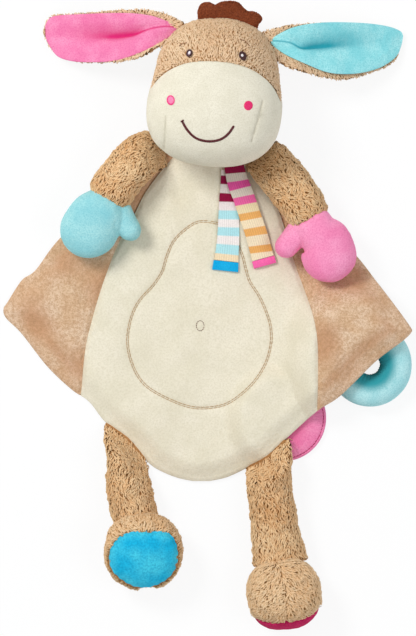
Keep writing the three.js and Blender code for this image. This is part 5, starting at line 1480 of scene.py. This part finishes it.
# The scarf is one strip of fine striped rib knit round the neck. Its two tails lie on the
# belly, one over the other, each closed by a bound hem, one blue and one pink.
scarf_half_wide, scarf_thick = 7.6, 1.3
scarf_tails = {
    "left": dict(path=[(0.045, -0.085), (0.044, -0.13), (0.042, -0.175), (0.041, -0.236), (0.039, -0.30),
                       (0.032, -0.381)],
                 swell=(0.85, 0.9, 0.95, 1, 1.06, 1.18), over=(0, 0, 0, 0, 0, 0), hem="blue", hem_long=7.0, lean=0.0,
                 bands=[("#E8DAD4", 0.064), ("#8E1240", 0.159), ("#E6DCD6", 0.259), ("#93123F", 0.351),
                        ("#EFE3E2", 0.445), ("#B2E4EA", 0.541), ("#F3ECE8", 0.630), ("#B2E4EA", 0.723),
                        ("#F3ECE8", 0.819), ("#B4E5EA", 0.924), ("#F2DDB8", 1.0)]),
    "right": dict(path=[(0.053, -0.072), (0.063, -0.12), (0.076, -0.16), (0.093, -0.219), (0.110, -0.280),
                        (0.130, -0.366)],
                  swell=(0.9, 1, 1, 1, 1.02, 1.04), over=(1, 1, 1, 1, 0.6, 0.3), hem="pink", hem_long=5.6, lean=0.14,
                  bands=[("#8E1240", 0.082), ("#DDD0C4", 0.166), ("#E457A0", 0.248), ("#E6DACB", 0.333),
                         ("#F26BA8", 0.418), ("#F0DDB2", 0.509), ("#EBB067", 0.582), ("#F3E1BE", 0.673),
                         ("#EBB067", 0.756), ("#F4E3C2", 0.863), ("#EBAE64", 0.937), ("#F3E2C0", 1.0)])}
hem_looks = {"blue": velour("blue hem knit", "#1FB4E6", "#0CA6E0", "#0A88C0", nap=0.7, bump=0.15),
             "pink": velour("pink hem knit", "#FA78B4", "#F464A8", "#DA4A8E", nap=0.7, bump=0.15)}


def striped_knit(name, bands):
    """Rib knit whose yarn changes colour across the tail, at the stripes' places along it, with the grooves between
    ribs painted darker as shade.
    """
    look, tree, shader = cloth_look(name, 0.9, 0.15, paint("#F3ECE8"))
    ramp = node(tree, "ShaderNodeValToRGB")
    ramp.color_ramp.interpolation = 'LINEAR'
    stops = ramp.color_ramp.elements
    stops[0].position, stops[0].color = 0.0, paint(bands[0][0])
    stops[1].position, stops[1].color = 1.0, paint(bands[-1][0])
    for (before, at), (after, _) in zip(bands[:-1], bands[1:]):
        for shift, colour in ((-0.004, before), (0.004, after)):
            stop = stops.new(min(max(at + shift, 0.001), 0.999))
            stop.color = paint(colour)
    tree.links.new(carried(tree, "tip"), ramp.inputs["Fac"])
    yarn = grain(tree, own_place(tree), 0.55, 3.0)
    shade = node(tree, "ShaderNodeMath", operation='MULTIPLY')
    tree.links.new(stretched(tree, yarn, 0.3, 0.7, 0.86, 1.06), shade.inputs[0])
    tree.links.new(stretched(tree, carried(tree, "tone"), 0.0, 1.0, 0.86, 1.04), shade.inputs[1])
    mixed = node(tree, "ShaderNodeVectorMath", operation='SCALE')
    tree.links.new(ramp.outputs["Color"], mixed.inputs[0])
    tree.links.new(shade.outputs[0], mixed.inputs["Scale"])
    tree.links.new(mixed.outputs[0], shader.inputs["Base Color"])
    bumped(tree, shader, yarn, 0.12)
    return look


def strip(path, half, top, across_count, thick, curl):
    """The upper and lower side of a strip of cloth along a path: its edges droop a little."""
    side = beside(path, 1.0) - path
    columns = np.sin(np.linspace(-1, 1, across_count) * math.pi / 2)
    plan = path[:, None] + side[:, None] * (half[:, None] * columns)[..., None]
    upper = raised(plan, top[:, None] - curl * np.abs(columns) ** 4 + 0.35 * waves(plan, 9, 301))
    return upper, upper - (0, 0, thick), columns


tail_count, knit_columns, hem_columns, level_run = 300, 61, 41, 20


for side, tail in scarf_tails.items():
    path = even_path(smooth_path(on_blanket(tail["path"])), tail_count)
    long_ = run_along(path)[-1]
    t = np.linspace(0, 1, tail_count)
    half = scarf_half_wide * np.interp(t, np.linspace(0, 1, 6), tail["swell"])
    over = np.interp(t, np.linspace(0, 1, 6), tail["over"])
    # The knit is too stiff to follow the belly's smallest hollows, so it lies on their average.
    padded = np.pad(belly_height(path), level_run, mode='edge')
    level = np.convolve(padded, np.ones(2 * level_run + 1) / (2 * level_run + 1), 'valid')
    top = np.minimum(np.maximum(level, pad_thick) + 0.35 + scarf_thick + 1.9 * over, 12.8 + 1.2 * over)
    hem_from = tail_count - int(tail_count * tail["hem_long"] / long_)
    knit = striped_knit("%s tail rib knit" % side, tail["bands"])
    upper, lower, columns = strip(path[:hem_from], half[:hem_from], top[:hem_from], knit_columns, scarf_thick, 0.25)
    ribs = 0.5 + 0.5 * np.cos(np.arange(knit_columns) * math.pi / 2)
    upper[..., 2] += 0.14 * ribs
    tip = (np.linspace(0, 1, hem_from)[:, None] - tail["lean"] * half[:hem_from, None] * columns / 65).ravel()
    # tone is how high each rib stands; the grooves between are painted darker as shade.
    tone = np.repeat(ribs[None], hem_from, 0).ravel()
    points, faces = closed_cloth(upper, lower)
    cloth = sewn_piece("scarf_knit_%s" % side, points, faces, knit, tip=np.r_[tip, tip], tone=np.r_[tone, tone])
    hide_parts("scarf_tail_%s" % side)
    hem_top = top[hem_from:] + 0.45 * np.sin(np.linspace(0.35, math.pi, tail_count - hem_from))
    upper, lower, _ = strip(path[hem_from:], half[hem_from:] * 1.03, hem_top, hem_columns, scarf_thick + 0.5, 0.5)
    points, faces = closed_cloth(upper, lower)
    hem = sewn_piece("scarf_binding_%s" % tail["hem"], points, faces, hem_looks[tail["hem"]])
    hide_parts("scarf_hem_%s" % tail["hem"])
    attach(cloth, "scarf")
    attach(hem, "scarf")

# The teether ring is a fat velour ring over a firm core, held by a tape loop that is sewn into
# the blanket's edge above it. It can be turned in its loop.
tube_radius, tube_half_wide, tube_half_high, tape_rise, ring_up = 18.1, 11.6, 8.5, 2.1, 9.55
inward = np.array([-0.66, 0.752]) / math.hypot(0.66, 0.752)
ring_lean = math.asin(tape_rise / (2 * tube_radius))
ring_velour = lining_look("turquoise ring velour", "#BCE8EA", "#A9DEE2", "#82C6CC", "#1E949E")
turn, tube = np.meshgrid(round_turns(200), round_turns(64), indexing='ij')
# The tube's section, with its two seams sunk and the cloth puckered towards the hole.
c, s = squarish(tube, 2.15)
fat = 1 - 0.012 * np.clip(-np.cos(tube), 0, 1) * (1 + np.sin(26 * turn)) - 0.045 * near_to(tube - math.pi, 0.10)
fat = fat - 0.02 * near_to(np.minimum(tube, 2 * math.pi - tube), 0.06)
fat = fat + 0.012 * waves(np.stack([np.cos(turn), np.sin(turn), 0.5 * np.sin(tube)], -1), 0.5, 311)
across_ring = tube_radius + (tube_half_wide - 0.2) * fat * c
ring_local = np.stack([across_ring * np.cos(turn), across_ring * np.sin(turn), (tube_half_high - 0.2) * fat * s], -1)
lean = np.array(Matrix.Rotation(ring_lean, 3, Vector((inward[1], -inward[0], 0))))
ring_points = ring_local.reshape(-1, 3) @ lean.T + (*ring_at, ring_up)
# The tube is painted darker on its inner half, towards the hole, as shade.
depth = ease((0.30 - np.cos(tube)) / 0.75)
ring = sewn_piece("teether_ring_velour", ring_points, looped_faces(*tube.shape), ring_velour, tip=depth.ravel())
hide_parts("teether_ring")
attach(ring, "teether_ring")

# Both tapes are narrow woven ribbon. The loop goes once round the ring's tube and its fold is
# caught in the blanket's edge, and the short one is sewn flat between blanket and disc.
ribbon = thread("woven ribbon", "#EDE6D6", "#D6CCB8", 0.2)
ribbon_half_wide, ribbon_thick = 2.95, 0.6
ribbon_section = ((-1, -0.5), (-0.97, 0.5), (-0.9, 0.62), (-0.84, 0.5), (0.84, 0.5), (0.9, 0.62), (0.97, 0.5),
                  (1, -0.5), (0.9, -0.6), (-0.9, -0.6))


def ribbon_band(line, wide_way, closed):
    """A ribbon along a line in space, with a woven edge."""
    way = (np.roll(line, -1, 0) - np.roll(line, 1, 0)) if closed else np.gradient(line, axis=0)
    out = unit(np.cross(way, wide_way))
    rings = np.stack([line + wide_way * ribbon_half_wide * w + out * ribbon_thick * h for w, h in ribbon_section], 1)
    if not closed:
        return closed_rings(rings)
    points = rings.reshape(-1, 3)
    return points, facing_out(points, looped_faces(*rings.shape[:2]))


loop_wide, loop_high = tube_half_wide + 1.3, tube_half_high + 1.3
turns = round_turns(96)
c, s = np.cos(turns), np.sin(turns)
# The loop is squarer where its fold is caught in the hem.
corner = np.where((c > 0) & (s > 0), (np.abs(c) ** 5 + np.abs(s) ** 5) ** (-1 / 5), 1.0)
loop_middle = np.array([*(ring_at + inward * tube_radius), loop_high + 0.8])
level_way, up_way = np.array([*inward, 0]), np.array([0, 0, 1.0])
loop_line = loop_middle + (level_way * ((loop_wide + 0.4) * c * corner)[:, None]
                           + up_way * ((loop_high + 0.4) * s * corner)[:, None])
tape_loop = sewn_piece("ring_tape_loop", *ribbon_band(loop_line, np.cross(level_way, up_way), True), ribbon)
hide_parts("teether_tape")
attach(tape_loop, "teether_tape")

# The grab disc is two rounds of pink satin velour sewn at the rim over a flat pad. The front
# is gathered a little, and a row of stitching runs just inside the rim.
disc_radius, disc_high, disc_rim, stitch_share = 30.5, 9.0, 2.2, 0.935
disc_satin = lining_look("pink disc satin velour", "#FA9CC0", "#F283B0", "#E0649A", "#CF2468")
away_share = np.r_[np.linspace(0.02, 0.86, 34), np.linspace(0.875, 1.0, 22)]
turns = round_turns(220)


def dome_up(share):
    """The height of the disc's front at a share of its radius."""
    return disc_rim / 2 + (disc_high - disc_rim / 2) * np.sqrt(1 - (share * 0.985) ** 2)


def disc_rings(share, up, turns):
    """Rings of points on the disc, at shares of its radius and at heights."""
    share, up = np.reshape(share, (-1, 1)), up * np.ones((np.size(share), len(turns)))
    reach = disc_radius * share
    return np.stack([disc_at[0] + reach * np.cos(turns), disc_at[1] + reach * np.sin(turns), up], -1)


gathers = 0.22 * near_to(away_share - 0.82, 0.16)[:, None] * np.sin(58 * turns + 2 * np.sin(7 * turns))
dipped = dome_up(away_share) - 0.75 * near_to(away_share - stitch_share, 0.014)
disc_top = disc_rings(away_share, dipped[:, None] + gathers * (away_share < 0.93)[:, None], turns)
disc_top[..., 2] += 0.18 * waves(disc_top, 8, 321)
under = disc_rings([0.99, 0.95, 0.8, 0.5, 0.02], np.array([0.55, 0.25, 0.2, 0.2, 0.2])[:, None], turns)
disc_points, disc_faces = closed_rings(np.concatenate([disc_top, under]))
# The front is painted darker towards its middle, as shade under the blanket's edge.
depth = 0.9 * ease((0.80 - away_share) / 0.75)
depth = np.r_[np.repeat(depth, len(turns)), np.zeros(under[..., 0].size), 0.9, 0.0]
disc = sewn_piece("grab_disc", disc_points, disc_faces, disc_satin, tip=depth)
rim_row = disc_rings(stitch_share, dome_up(stitch_share) - 0.55, np.r_[turns, turns[:1]])[0]
disc_thread = thread("disc thread", "#D23C7C", "#A82560")
disc_stitch = sewn_piece("grab_disc_stitch", *stitches(rim_row, 1.9, 0.5, 0.24), disc_thread)
near = disc_at + inward * (disc_radius + 0.1)
disc_line = np.column_stack([near + inward * np.linspace(-1.2, 9.0, 24)[:, None], np.linspace(1.0, 0.55, 24)])
disc_tape = sewn_piece("disc_tape_ribbon", *ribbon_band(disc_line, np.array([-inward[1], inward[0], 0]), False), ribbon)
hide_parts("disc_front", "disc_back", "disc_pad")
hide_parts("disc_tape")
for piece, slot_name in ((disc, "pink_velour"), (disc_stitch, "pink_velour"), (disc_tape, "ribbon")):
    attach(piece, "disc")
